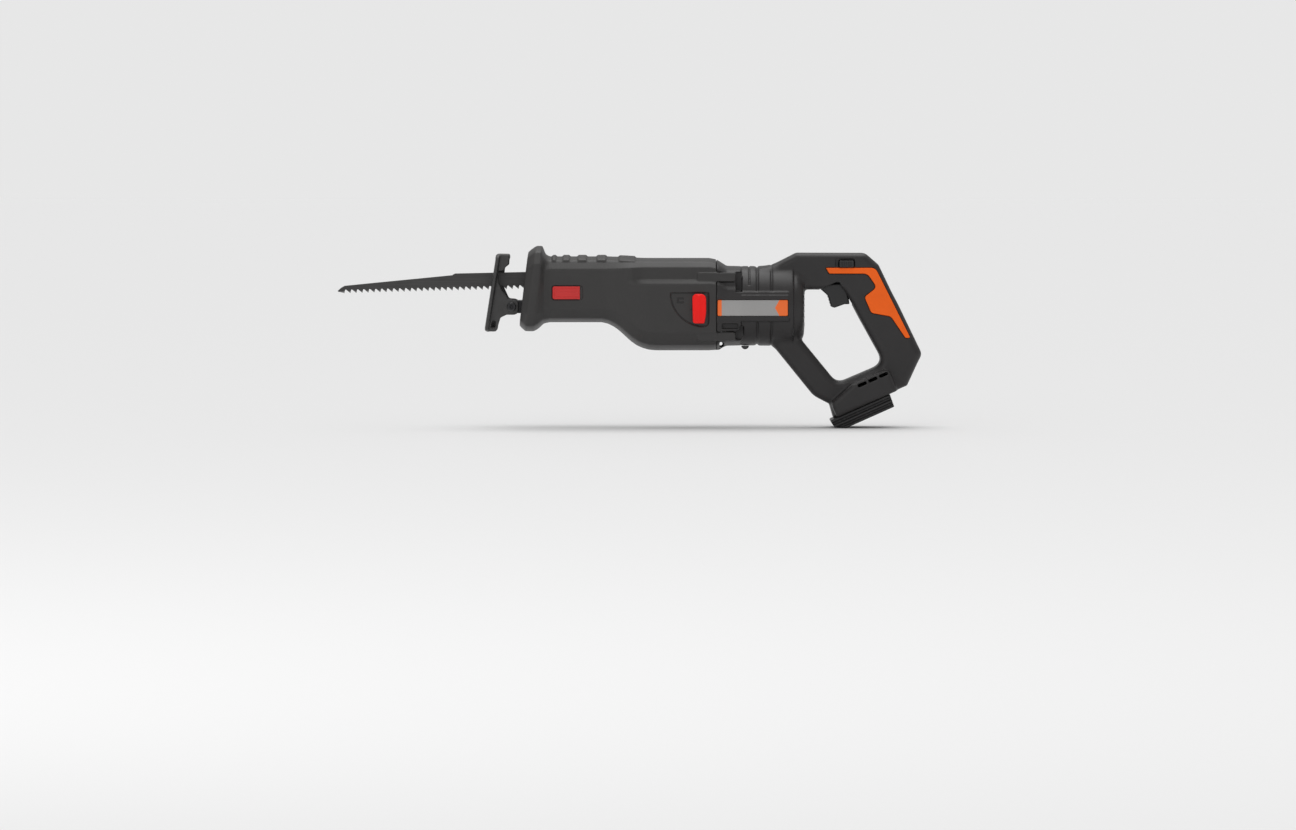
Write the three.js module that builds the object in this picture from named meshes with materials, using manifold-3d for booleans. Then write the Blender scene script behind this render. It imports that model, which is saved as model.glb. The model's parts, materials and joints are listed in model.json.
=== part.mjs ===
// Cordless reciprocating saw, bare tool (no battery pack fitted).
// Units are millimetres, +Z is up, -X is forwards (towards the blade's tip), +X is towards the grip.
// Y = 0 is the saw's middle plane, and its left side is -Y.
// The origin is the middle of the battery rail's lower face, where a battery pack's top seats.
//
// How it works: the motor's pinion turns the drive gear below it. The gear's shaft carries a wobble
// hub, whose ring rocks a finger, and the finger pushes the plunger, its blade clamp and the blade
// to and fro. A rubber boot covers the cast gear case, and two moulded shells hold the motor, the
// D-shaped handle and the battery foot.
import * as THREE from "three";
import { mergeVertices } from "three/addons/utils/BufferGeometryUtils.js";
import Module from "manifold-3d";

const wasm = await Module();
wasm.setup();

// ---------------------------------------------------------------- driving dimensions
const GAP = 0.3; // between pieces that touch or nest
const STROKE_Z = 137; // height of the plunger's and the blade tang's axis
const MOTOR_Z = 112.5; // height of the motor's axis

const GEAR_MODULE = 0.9;
const PINION_TEETH = 9;
const DRIVE_TEETH = 35;
const GEAR_Z = MOTOR_Z - (GEAR_MODULE * (PINION_TEETH + DRIVE_TEETH)) / 2;
const WOBBLE_X = -220; // centre of the wobble ring

const BOOT_END_X = -150; // parting line between the boot and the housing shells
const BOOT_WALL = 2.2;
const CASE_WALL = 2.5;
const SHELL_WALL = 3;

const HANDLE_HALF = 17; // half the handle's width
const HANDLE_ROUND = 9; // radius of the handle's long edges
const FOOT_HALF = 31;
const FOOT_TILT = THREE.MathUtils.degToRad(24);
const RAIL_HALF = 23;
const RAIL_HEIGHT = 13.4;

const SHOE_PIVOT = { x: -354, z: 111.5 };
const LEVER_PIVOT = { x: -167.5, z: 118 };
const LEVER_SHAFT_R = 3.2;

// ---------------------------------------------------------------- materials
const paint = (color, roughness, metalness) =>
  new THREE.MeshStandardMaterial({ color, roughness, metalness });
const blackRubber = paint(0x343333, 0.85, 0);
const charcoalPlastic = paint(0x2f2e2f, 0.6, 0);
const blackPlastic = paint(0x181818, 0.5, 0);
const orangePlastic = paint(0xe5682a, 0.55, 0);
const redPlastic = paint(0xdd2a26, 0.45, 0);
const greyPlate = paint(0x8e8d8a, 0.5, 0.1);
const coatedSteel = paint(0x363636, 0.5, 0.6);
const shoeMetal = paint(0x3b3b3b, 0.55, 0.5);
const castAlloy = paint(0xb9bbbd, 0.5, 0.9);
const steel = paint(0xc4c6c8, 0.35, 1);
const bronze = paint(0xa8803c, 0.5, 0.9);
const copper = paint(0xb4703a, 0.4, 0.9);
const magnetBlack = paint(0x2a2a2c, 0.4, 0.6);
const boardGreen = paint(0x1d5a34, 0.6, 0);
const leadRed = paint(0xb02020, 0.6, 0);
const springSteel = paint(0x9b9da0, 0.35, 1);

// ---------------------------------------------------------------- solids and meshes
// A closed three.js geometry as a manifold solid, moved by a matrix if one is given.
function solid(geometry, matrix = null) {
  const bare = geometry.index ? geometry.toNonIndexed() : geometry.clone();
  const positions = new THREE.BufferGeometry().setAttribute("position", bare.getAttribute("position"));
  if (matrix) positions.applyMatrix4(matrix);
  const merged = mergeVertices(positions, 1e-3);
  const made = new wasm.Manifold(
    new wasm.Mesh({
      numProp: 3,
      vertProperties: merged.attributes.position.array,
      triVerts: new Uint32Array(merged.index.array),
    }),
  );
  return made;
}

function geometryOf(shape) {
  const mesh = shape.getMesh();
  const geometry = new THREE.BufferGeometry();
  const positions = new Float32Array(mesh.numVert * 3);
  for (let i = 0; i < mesh.numVert; i++) {
    positions.set(mesh.vertProperties.subarray(i * mesh.numProp, i * mesh.numProp + 3), i * 3);
  }
  geometry.setAttribute("position", new THREE.BufferAttribute(positions, 3));
  geometry.setIndex(new THREE.BufferAttribute(new Uint32Array(mesh.triVerts), 1));
  geometry.computeVertexNormals();
  return geometry;
}

const joined = (solids) => solids.reduce((whole, next) => whole.add(next));
const cutBy = (body, cutters) => cutters.reduce((left, cutter) => left.subtract(cutter), body);

// The largest body of a solid. Cuts can leave slivers beside it, which are dropped.
const largest = (shape) => shape.decompose().sort((a, b) => b.volume() - a.volume())[0];

const saw = new THREE.Group();

// Adds a named mesh, made from a geometry or from a manifold solid, to the saw.
function add(name, shape, material, x = 0, y = 0, z = 0) {
  const geometry = shape.isBufferGeometry ? shape : geometryOf(largest(shape));
  const mesh = new THREE.Mesh(geometry, material);
  mesh.name = name;
  mesh.position.set(x, y, z);
  saw.add(mesh);
  return mesh;
}

// ---------------------------------------------------------------- shape helpers
const boxGeometry = (x0, x1, y0, y1, z0, z1) =>
  new THREE.BoxGeometry(x1 - x0, y1 - y0, z1 - z0).translate((x0 + x1) / 2, (y0 + y1) / 2, (z0 + z1) / 2);
const box = (...sizes) => solid(boxGeometry(...sizes));
const spunBox = (angle, ...sizes) => solid(boxGeometry(...sizes).rotateX(angle));

// A body of revolution about the X axis. profile: [distance along X, radius] pairs.
function turnedGeometry(profile, sides = 24) {
  const points = profile.map(([x, r]) => new THREE.Vector2(r, x));
  return new THREE.LatheGeometry(points, sides).rotateZ(-Math.PI / 2).rotateX(Math.PI / sides);
}

// A solid cylinder along X, as a geometry about its own axis.
const rodGeometry = (x0, x1, r, sides = 24) => turnedGeometry([[x0, 0], [x0, r], [x1, r], [x1, 0]], sides);

// A ring (tube) along X, as a geometry about its own axis.
const tubeGeometry = (x0, x1, inner, outer, sides = 24) =>
  turnedGeometry([[x0, inner], [x0, outer], [x1, outer], [x1, inner], [x0, inner]], sides);

const rod = (x0, x1, r, y, z, sides) => solid(rodGeometry(x0, x1, r, sides).translate(0, y, z));
const tube = (x0, x1, inner, outer, y, z, sides) =>
  solid(tubeGeometry(x0, x1, inner, outer, sides).translate(0, y, z));

// A cylinder along Y between y0 and y1.
const crossRodGeometry = (x, z, y0, y1, r, sides = 20) =>
  new THREE.CylinderGeometry(r, r, y1 - y0, sides).translate(x, (y0 + y1) / 2, z);
const crossRod = (...sizes) => solid(crossRodGeometry(...sizes));

// Moves the sides of a closed outline of {x, z, r} corners inwards by inset. Corners run
// anticlockwise, as seen with X to the right and Z up, round material; round a hole they run clockwise.
function insetCorners(corners, inset) {
  const count = corners.length;
  return corners.map((corner, i) => {
    const before = corners[(i + count - 1) % count];
    const after = corners[(i + 1) % count];
    const first = new THREE.Vector2(corner.x - before.x, corner.z - before.z).normalize();
    const second = new THREE.Vector2(after.x - corner.x, after.z - corner.z).normalize();
    const turn = first.x * second.y - first.y * second.x;
    const along = first.dot(second);
    const bisector = new THREE.Vector2(-first.y - second.y, first.x + second.x);
    const reach = inset / (1 + along);
    const radius = turn > 0 ? corner.r - inset : corner.r + inset;
    return { x: corner.x + bisector.x * reach, z: corner.z + bisector.y * reach, r: Math.max(radius, 0.4) };
  });
}

// Points of an outline of {x, z, r} corners, with each corner rounded by an arc of `steps` steps.
function roundedPoints(corners, steps) {
  const count = corners.length;
  const points = [];
  corners.forEach((corner, i) => {
    const before = corners[(i + count - 1) % count];
    const after = corners[(i + 1) % count];
    const at = new THREE.Vector2(corner.x, corner.z);
    const back = new THREE.Vector2(before.x, before.z).sub(at).normalize();
    const ahead = new THREE.Vector2(after.x, after.z).sub(at).normalize();
    const half = Math.acos(THREE.MathUtils.clamp(back.dot(ahead), -1, 1)) / 2;
    const reach = corner.r / Math.tan(half);
    const start = at.clone().addScaledVector(back, reach);
    const end = at.clone().addScaledVector(ahead, reach);
    const curve = new THREE.QuadraticBezierCurve(start, at, end);
    for (let k = 0; k <= steps; k++) {
      points.push(curve.getPoint(k / steps));
    }
  });
  return points;
}

const cornersOf = (rows) => rows.map(([x, z, r]) => ({ x, z, r }));

// A prism of an outline in the XZ plane, between y0 and y1.
function slabGeometry(points, y0, y1, holes = []) {
  const shape = new THREE.Shape(points);
  holes.forEach((hole) => shape.holes.push(new THREE.Path(hole)));
  const geometry = new THREE.ExtrudeGeometry(shape, { depth: y1 - y0, bevelEnabled: false });
  return geometry.rotateX(Math.PI / 2).translate(0, y1, 0);
}
const slab = (points, y0, y1, holes) => solid(slabGeometry(points, y0, y1, holes));

// A solid from a stack of closed rings of 3-D points, each ring with the same number of points.
// Each ring may hold several loops (an outline and its holes); ends are closed flat.
function stackedGeometry(rings, capFaces) {
  const positions = [];
  const indices = [];
  const loopLengths = rings[0].map((loop) => loop.length);
  const total = loopLengths.reduce((a, b) => a + b, 0);
  rings.forEach((ring) => ring.flat().forEach((p) => positions.push(p.x, p.y, p.z)));
  for (let layer = 0; layer + 1 < rings.length; layer++) {
    let start = 0;
    loopLengths.forEach((length) => {
      for (let i = 0; i < length; i++) {
        const a = layer * total + start + i;
        const b = layer * total + start + ((i + 1) % length);
        indices.push(a, b, b + total, a, b + total, a + total);
      }
      start += length;
    });
  }
  const last = (rings.length - 1) * total;
  capFaces.forEach(([a, b, c]) => {
    indices.push(c, b, a);
    indices.push(last + a, last + b, last + c);
  });
  const geometry = new THREE.BufferGeometry();
  geometry.setAttribute("position", new THREE.Float32BufferAttribute(positions, 3));
  geometry.setIndex(indices);
  return geometry;
}

// A slab of an outline with rounded long edges, as wide as 2 * half, drawn in by inset all over.
// Round a hole, its corners run the other way.
function roundedSlab(outer, hole, half, round, inset = 0, { steps = 3, arc = 3, matrix = null } = {}) {
  const layerAt = (y, extra) => {
    const loops = [outer, hole].filter(Boolean)
      .map((corners) => roundedPoints(insetCorners(corners, inset + extra), arc));
    return loops.map((loop) => loop.map((p) => new THREE.Vector3(p.x, y, p.y)));
  };
  const halfWide = half - inset;
  const radius = Math.max(round - inset, 1);
  const layers = [];
  for (let k = 0; k <= steps; k++) {
    const angle = (k / steps) * (Math.PI / 2);
    layers.push([halfWide - radius + radius * Math.cos(angle), radius * (1 - Math.sin(angle))]);
  }
  const mirrored = layers.map(([y, extra]) => [-y, extra]).reverse();
  // The layers run from +Y to -Y, so that anticlockwise loops face outwards.
  const rings = [...layers, ...mirrored].map(([y, extra]) => layerAt(y, extra));
  const flat = rings[0].map((loop) => loop.map((p) => new THREE.Vector2(p.x, p.z)));
  const caps = THREE.ShapeUtils.triangulateShape(flat[0], flat.slice(1));
  return solid(stackedGeometry(rings, caps), matrix);
}

// A body lofted along X through rings of [y, z] points. A ring leans about the height LEAN_Z.
const LEAN_Z = 129.5;
function lofted(rings) {
  const loops = rings.map((ring) => {
    const { x, lean, points } = ring;
    return [points.map(([y, z]) => new THREE.Vector3(x + lean * (z - LEAN_Z), y, z))];
  });
  const flat = rings[0].points.map(([y, z]) => new THREE.Vector2(y, z));
  const caps = THREE.ShapeUtils.triangulateShape(flat, []);
  return solid(stackedGeometry(loops, caps));
}

// One cross-section of the saw's body, drawn in by inset. Its sides step out at a ledge.
function section(row, inset = 0) {
  const { x, top, bottom, topHalf, upperHalf, shoulder, ledge, lowerHalf, belly, bottomHalf,
    lean = 0 } = row;
  const upper = upperHalf - inset;
  const lower = lowerHalf - inset;
  const roof = top - inset;
  const floor = bottom + inset;
  const right = [
    [topHalf, roof],
    [topHalf + (upper - topHalf) * 0.62, roof - (top - shoulder) * 0.3],
    [upper, shoulder - inset * 0.4],
    [upper, ledge + (lower > upper + 0.5 ? 4 : 1.5)],
    [lower, ledge - 1.5],
    [lower, belly + inset * 0.4],
    [bottomHalf + (lower - bottomHalf) * 0.66, floor + (belly - bottom) * 0.32],
    [bottomHalf, floor],
  ];
  const left = right.map(([y, z]) => [-y, z]).reverse();
  return { x, lean, points: [...left, ...right].reverse() };
}

// ---------------------------------------------------------------- outlines shared by several pieces
// The body's cross-sections from nose to motor. Top, bottom and heights are Z; halves are Y.
const barrelRow = {
  top: 161.5, bottom: 96, topHalf: 13, upperHalf: 31, shoulder: 149, ledge: 130, lowerHalf: 31, belly: 110,
    bottomHalf: 14,
};
const gearRow = {
  top: 160, bottom: 68, topHalf: 13, upperHalf: 32.5, shoulder: 151, ledge: 136, lowerHalf: 37.5, belly: 87,
    bottomHalf: 15,
};
const blendRow = (x, share, bottom) => {
  const row = { x };
  Object.keys(barrelRow).forEach((key) => {
    row[key] = barrelRow[key] + (gearRow[key] - barrelRow[key]) * share;
  });
  row.bottom = bottom;
  row.belly = Math.max(row.belly, bottom + 14);
  return row;
};
const flangeRow = (x, top, bottom, half, lean) => ({
  x, lean, top, bottom, topHalf: 17, upperHalf: half, shoulder: top - 18, ledge: 129.5, lowerHalf: half,
    belly: bottom + 18, bottomHalf: 17,
});
const BODY_ROWS = [
  { x: -326, ...barrelRow },
  { x: -264, ...barrelRow },
  blendRow(-252, 0.12, 92),
  blendRow(-243, 0.35, 84.5),
  blendRow(-234, 0.68, 76),
  blendRow(-224, 0.93, 70.5),
  { x: -211, ...gearRow },
  { x: -157, ...gearRow },
];
const NOSE_ROWS = [
  flangeRow(-341.6, 166.8, 92, 33, 0.12),
  flangeRow(-335.4, 172.2, 87, 38, 0.13),
  flangeRow(-327, 172, 87, 38, 0.11),
  flangeRow(-320.5, 163, 95, 31.5, 0.03),
  { x: -316, ...barrelRow },
];
const motorRow = {
  top: 152, bottom: 72.5, topHalf: 13, upperHalf: 32.5, shoulder: 140, ledge: 129.5, lowerHalf: 36.5,
    belly: 92, bottomHalf: 15,
};
const MOTOR_ROWS = [
  { ...motorRow, x: BOOT_END_X + GAP, top: 158.5 },
  { x: -139.5, ...motorRow },
  { x: -80, ...motorRow },
  { ...motorRow, x: -74, top: 150, bottom: 76, upperHalf: 30.5, lowerHalf: 33, shoulder: 138 },
  { ...motorRow, x: -63, top: 148, bottom: 90, upperHalf: 26, lowerHalf: 28, shoulder: 136, belly: 104,
    topHalf: 10, bottomHalf: 10 },
];

// The D-shaped handle, seen from the left side.
const HANDLE_OUTER = cornersOf([
  [-114, 98, 1], [-53, 22.8, 24], [-37, 14.5, 4], [-33, 0.3, 1.5], [40.6, 33, 2.5],
  [54.9, 64.3, 8], [11.8, 153.5, 9], [-1.5, 165, 9], [-70, 165.2, 7], [-104, 148, 1],
]);
const HANDLE_HOLE = cornersOf([
  [-62.8, 128.6, 2.5], [-24, 128.6, 3], [-14, 113, 4], [18, 55.2, 10], [-29.1, 35, 11], [-65.5, 79.5, 3],
    [-63, 93, 2],
]);
const footPoint = (u, v) => [u * Math.cos(FOOT_TILT) - v * Math.sin(FOOT_TILT),
  u * Math.sin(FOOT_TILT) + v * Math.cos(FOOT_TILT)];
const footCorners = (rows) => cornersOf(rows.map(([u, v, r]) => [...footPoint(u, v), r]));
const FOOT_BASE = RAIL_HEIGHT + GAP;
const FOOT_OUTLINE = footCorners([[-26.5, FOOT_BASE, 2], [39, FOOT_BASE, 2], [40, 37.5, 5], [0, 37.5, 9],
  [-26.5, 29, 5]]);

// The orange inlay on the grip.
const ACCENT_OUTLINE = cornersOf([
  [-41, 150.5, 0.6], [-37.5, 144.7, 0.6], [0.5, 144.7, 8], [10, 131, 5], [-2.5, 121.5, 4], [4.5, 105.5, 4],
  [24, 102, 6], [38.5, 80.6, 1], [43.5, 80.6, 1], [8.5, 150.5, 8],
]);

// ---------------------------------------------------------------- rubber boot and gear case
const bodyBefore = (x1, inset, x0 = -400) => {
  const rows = BODY_ROWS.map((row) => ({ ...row }));
  rows[0].x = Math.max(x0, rows[0].x);
  rows[rows.length - 1].x = x1;
  return lofted(rows.map((row) => section(row, inset)));
};

// The rectangular mouth in the nose, where a hand reaches the blade clamp.
const MOUTH = { half: 22, low: 102.5, high: 155.5, depthX: -287 };
const mouthCutter = (x0, x1) => {
  const corners = cornersOf([
    [-MOUTH.half, MOUTH.low, 8], [MOUTH.half, MOUTH.low, 8], [MOUTH.half, MOUTH.high, 12],
      [-MOUTH.half, MOUTH.high, 12],
  ]);
  const shape = new THREE.Shape(roundedPoints(corners, 4));
  const geometry = new THREE.ExtrudeGeometry(shape, { depth: x1 - x0, bevelEnabled: false });
  return solid(geometry.rotateX(Math.PI / 2).rotateZ(Math.PI / 2).translate(x0, 0, 0));
};

// The quarter-round recess that the mode lever swings in, on the left side.
const SECTOR = { x: -162.5, z: 125.8, r: 33 };
const sectorPoints = (grow) => {
  const points = [new THREE.Vector2(SECTOR.x + 4.5 + grow, SECTOR.z + grow),
    new THREE.Vector2(SECTOR.x - SECTOR.r - grow, SECTOR.z + grow)];
  const steps = 10;
  for (let k = 0; k <= steps; k++) {
    const angle = Math.PI + ((k / steps) * Math.PI) / 2;
    points.push(new THREE.Vector2(SECTOR.x + (SECTOR.r + grow) * Math.cos(angle),
      SECTOR.z + (SECTOR.r + grow) * Math.sin(angle)));
  }
  points.push(new THREE.Vector2(SECTOR.x + 4.5 + grow, SECTOR.z - SECTOR.r + 1.5));
  return points;
};
const SECTOR_DEPTH = 1.4; // thinner than the rubber, which backs the recess

// Four screw tabs reach back from the boot over the housing. side is -1 (left) or 1.
const TAB_UPPER = { x0: -169, x1: -131, z0: 137, z1: 146, inner: 30.9, outer: 34 };
const TAB_LOWER = { x0: -169, x1: -131, z0: 78.4, z1: 86.9, inner: 30.6, outer: 35.4 };
const tabBlock = (tab, side, grow = 0, back = 0) => {
  const corners = cornersOf([
    [tab.x0 - grow, tab.z0 - grow, 2], [tab.x1 + grow + back, tab.z0 - grow, 2],
    [tab.x1 + grow + back, tab.z1 + grow, 2], [tab.x0 - grow, tab.z1 + grow, 2],
  ]);
  const inner = tab.inner - grow;
  const outer = tab.outer + (grow > 0 ? 10 : 0);
  return slab(roundedPoints(corners, 2), side < 0 ? -outer : inner, side < 0 ? -inner : outer);
};
const TABS = [TAB_UPPER, TAB_LOWER].flatMap((tab) => [-1, 1].map((side) => ({ tab, side })));
const POCKET_LENGTH = 7; // open pocket behind each tab, where its screw is driven

const BADGE = { x: -298.2, z: 125.9, long: 30, tall: 13.4, thick: 1.4 };
const badgeCorners = (grow) => {
  const dx = BADGE.long / 2 + grow;
  const dz = BADGE.tall / 2 + grow;
  return cornersOf([
    [BADGE.x - dx, BADGE.z - dz, 2], [BADGE.x + dx, BADGE.z - dz, 2], [BADGE.x + dx, BADGE.z + dz, 2],
      [BADGE.x - dx, BADGE.z + dz, 2],
  ]);
};

// The boot's tail lip under the housing, with its tether eye.
const TAIL = { x0: -160, x1: -141, z0: 68.3, z1: 78, half: 7, eyeX: -145.4, eyeZ: 74.4, eyeR: 1.9 };

function makeBoot() {
  const outer = joined([
    lofted([...NOSE_ROWS, ...BODY_ROWS.slice(1, -1),
      { x: BOOT_END_X, ...gearRow }].map((row) => section(row))),
    ...TABS.map(({ tab, side }) => tabBlock(tab, side)),
    slab(
      roundedPoints(cornersOf([[TAIL.x0, TAIL.z0, 1], [TAIL.x1 - 6, TAIL.z0, 3], [TAIL.x1, TAIL.z0 + 4, 2],
        [TAIL.x1, TAIL.z1, 2], [TAIL.x0, TAIL.z1, 1]]), 2),
      -TAIL.half,
      TAIL.half,
    ),
  ]);
  // Anti-slip ribs stand proud over the top of the barrel.
  const rib = (x0, x1) => lofted([x0, x1].map((x) => section({ x, ...barrelRow, top: barrelRow.top + 1.6,
    topHalf: 12 }))).intersect(box(x0, x1, -26, 26, 150, 170));
  const ribbed = joined([outer, rib(-303, -295), rib(-287, -278), rib(-268, -259), rib(-246, -232)]);
  const leverPocket = slab(sectorPoints(0), -40, -(gearRow.lowerHalf - SECTOR_DEPTH));
  const badgePocket = slab(roundedPoints(badgeCorners(GAP), 2), -40, -(barrelRow.lowerHalf - 0.9));
  const leverHole = crossRod(LEVER_PIVOT.x, LEVER_PIVOT.z, -45, -30, LEVER_SHAFT_R + 0.6, 16);
  const eye = crossRod(TAIL.eyeX, TAIL.eyeZ, -20, 20, TAIL.eyeR, 12);
  return cutBy(ribbed, [bodyBefore(-140, BOOT_WALL), mouthCutter(-360, -320), leverPocket, badgePocket,
    leverHole, eye]);
}
add("rubber_boot", makeBoot(), blackRubber);
add(
  "nose_badge",
  slab(roundedPoints(badgeCorners(0), 2), -(barrelRow.lowerHalf - 0.6 + BADGE.thick),
    -(barrelRow.lowerHalf - 0.6)),
  redPlastic,
);

// Shoe post: a flat steel bar that slides in the gear case to set the shoe's reach.
const POST = { x0: -360.5, x1: -262, half: 12, z0: 105, z1: 118 };
const BUSH_FRONT = { x0: -286, x1: -262, r: 11 };
const BUSH_REAR = { x0: -192, x1: -181, r: 10 };
const PLUNGER_R = 8;
const PLUNGER_REAR_R = 7;
const GEAR_SHAFT_R = 4;
const FRONT_BEARING = { x0: -239, x1: -234, r: 7 };
const REAR_BEARING = { x0: -184, x1: -178, r: 8 };
const MOTOR_FRONT_BEARING = { x0: -161, x1: -155, r: 9.5 };

function makeGearCase() {
  const outer = bodyBefore(-157, BOOT_WALL + GAP, -325.6);
  const room = bodyBefore(-150, BOOT_WALL + GAP + CASE_WALL).add(box(-330, -324, -24, 24, 102, 155));
  const bulkhead = outer.intersect(box(-286.5, -272, -40, 40, 60, 170));
  const bushBoss = rod(-286.5, -262, BUSH_FRONT.r + 3, 0, STROKE_Z);
  const bearingBoss = outer.intersect(rod(-242, -232.5, FRONT_BEARING.r + 3, 0, GEAR_Z));
  const body = joined([outer.subtract(room), bulkhead, bushBoss, bearingBoss]);
  return cutBy(body, [
    rod(-320, -260, BUSH_FRONT.r + GAP, 0, STROKE_Z),
    box(-340, -250, -(POST.half + GAP), POST.half + GAP, POST.z0 - GAP, POST.z1 + GAP),
    rod(FRONT_BEARING.x0 - GAP, -230, FRONT_BEARING.r + GAP, 0, GEAR_Z),
    crossRod(LEVER_PIVOT.x, LEVER_PIVOT.z, -45, -20, LEVER_SHAFT_R + GAP, 16),
    mouthCutter(-330, MOUTH.depthX),
  ]);
}
add("gear_case", makeGearCase(), castAlloy);

// Cover plate that closes the gear case behind and carries three bearing seats.
function makeGearCover() {
  const plate = bodyBefore(-150, BOOT_WALL + 2 * GAP + CASE_WALL)
    .intersect(box(-163, -158, -50, 50, 50, 170));
  const body = joined([
    plate,
    rod(BUSH_REAR.x0 - 1, -162, BUSH_REAR.r + 2.5, 0, STROKE_Z, 20),
    rod(REAR_BEARING.x0, -162, REAR_BEARING.r + 3, 0, GEAR_Z, 20),
    rod(-162, MOTOR_FRONT_BEARING.x1, MOTOR_FRONT_BEARING.r + 2, 0, MOTOR_Z, 20),
  ]);
  return cutBy(body, [
    rod(-200, BUSH_REAR.x1 + GAP, BUSH_REAR.r + GAP, 0, STROKE_Z, 20),
    rod(-200, -150, PLUNGER_REAR_R + 0.8, 0, STROKE_Z, 20),
    rod(-190, REAR_BEARING.x1 + GAP, REAR_BEARING.r + GAP, 0, GEAR_Z, 20),
    rod(MOTOR_FRONT_BEARING.x0 - GAP, -150, MOTOR_FRONT_BEARING.r + GAP, 0, MOTOR_Z, 20),
    rod(-190, -150, 6.5, 0, MOTOR_Z, 20),
  ]);
}
add("gear_case_cover", makeGearCover(), castAlloy);
add("front_plunger_bush", tubeGeometry(BUSH_FRONT.x0, BUSH_FRONT.x1, PLUNGER_R + GAP, BUSH_FRONT.r, 20),
  bronze, 0, 0, STROKE_Z);
add("rear_plunger_bush", tubeGeometry(BUSH_REAR.x0, BUSH_REAR.x1, PLUNGER_REAR_R + GAP, BUSH_REAR.r, 20),
  bronze, 0, 0, STROKE_Z);
add("plunger_wiper_seal", tubeGeometry(-288.6, -286.8, PLUNGER_R + GAP, BUSH_FRONT.r + 1, 20), blackRubber,
  0, 0, STROKE_Z);

// ---------------------------------------------------------------- gears and wobble drive
const PRESSURE_ANGLE = THREE.MathUtils.degToRad(25);
const BACKLASH = 0.14; // taken off each tooth's thickness

// Outline of a spur gear with involute flanks in the YZ plane, with a tooth centred on `phase`.
function gearPoints(teeth, phase) {
  const pitch = (GEAR_MODULE * teeth) / 2;
  const base = pitch * Math.cos(PRESSURE_ANGLE);
  const tip = pitch + 0.8 * GEAR_MODULE;
  const root = pitch - GEAR_MODULE;
  const involute = (r) => {
    const roll = Math.acos(Math.min(1, base / r));
    return Math.tan(roll) - roll;
  };
  const halfAtPitch = Math.PI / (2 * teeth) - BACKLASH / (2 * pitch);
  const flankSteps = teeth > 20 ? 1 : 2;
  const points = [];
  for (let i = 0; i < teeth; i++) {
    const centre = phase + (i * 2 * Math.PI) / teeth;
    const start = Math.max(base, root);
    const flank = [];
    for (let k = 0; k <= flankSteps; k++) {
      const r = start + ((tip - start) * k) / flankSteps;
      flank.push([r, halfAtPitch + involute(pitch) - involute(r)]);
    }
    const half = [[root, flank[0][1]], ...(start > root + 0.01 ? flank : flank.slice(1))];
    half.forEach(([r, a]) => points.push(new THREE.Vector2(r * Math.cos(centre - a),
      r * Math.sin(centre - a))));
    half.reverse().forEach(([r, a]) => points.push(new THREE.Vector2(r * Math.cos(centre + a),
      r * Math.sin(centre + a))));
  }
  return points;
}

// A gear as a prism along X. An XY outline turns into YZ: X goes to Y and Y to Z.
const gearGeometry = (teeth, phase, x0, x1) =>
  new THREE.ExtrudeGeometry(new THREE.Shape(gearPoints(teeth, phase)),
    { depth: x1 - x0, bevelEnabled: false })
    .rotateX(Math.PI / 2)
    .rotateZ(Math.PI / 2)
    .translate(x0, 0, 0);
const GEAR_FACE = { x0: -198, x1: -190 };

const HUB_R = 9.5; // the wobble hub's ball, centred on the gear shaft
function makeGearShaft() {
  const ball = solid(new THREE.SphereGeometry(HUB_R, 20, 12).rotateZ(Math.PI / 2)
    .translate(WOBBLE_X, 0, 0));
  const hub = ball.intersect(box(WOBBLE_X - 7, WOBBLE_X + 7, -20, 20, -20, 20));
  return joined([rod(FRONT_BEARING.x0, REAR_BEARING.x1, GEAR_SHAFT_R, 0, 0, 16), hub,
    rod(-212, -203, 6, 0, 0, 16)]);
}
add("gear_shaft", makeGearShaft(), steel, 0, 0, GEAR_Z);
const gearWheel = solid(gearGeometry(DRIVE_TEETH, Math.PI / 2 + Math.PI / DRIVE_TEETH, GEAR_FACE.x0,
  GEAR_FACE.x1));
const gearHoles = [0, 1, 2, 3, 4].map((i) => {
  const angle = (i * 2 * Math.PI) / 5;
  return rod(-205, -180, 2.6, 9.6 * Math.cos(angle), 9.6 * Math.sin(angle), 8);
});
add("drive_gear", cutBy(gearWheel, [rod(-205, -180, GEAR_SHAFT_R + GAP, 0, 0), ...gearHoles]), steel, 0, 0,
  GEAR_Z);
add("gear_shaft_front_bearing", tubeGeometry(FRONT_BEARING.x0, FRONT_BEARING.x1, GEAR_SHAFT_R + GAP,
  FRONT_BEARING.r, 16), steel, 0, 0, GEAR_Z);
add("gear_shaft_rear_bearing", tubeGeometry(REAR_BEARING.x0, REAR_BEARING.x1, GEAR_SHAFT_R + GAP,
  REAR_BEARING.r, 16), steel, 0, 0, GEAR_Z);

// The wobble ring rides on the hub's ball. Its finger ends in a ball inside the plunger.
const FINGER_LENGTH = STROKE_Z - GEAR_Z;
const FINGER_BALL_R = 5;
function makeWobbleRing() {
  const ring = tube(-6, 6, HUB_R + 0.5, 15, 0, 0);
  const stem = new THREE.CylinderGeometry(3.2, 4.4, FINGER_LENGTH - 13, 12);
  const finger = solid(stem.rotateX(Math.PI / 2).translate(0, 0, 13 + (FINGER_LENGTH - 13) / 2));
  const ball = solid(new THREE.SphereGeometry(FINGER_BALL_R, 12, 8).translate(0, 0, FINGER_LENGTH));
  return joined([ring, finger, ball]);
}
add("wobble_ring", makeWobbleRing(), steel, WOBBLE_X, 0, GEAR_Z);

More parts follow.
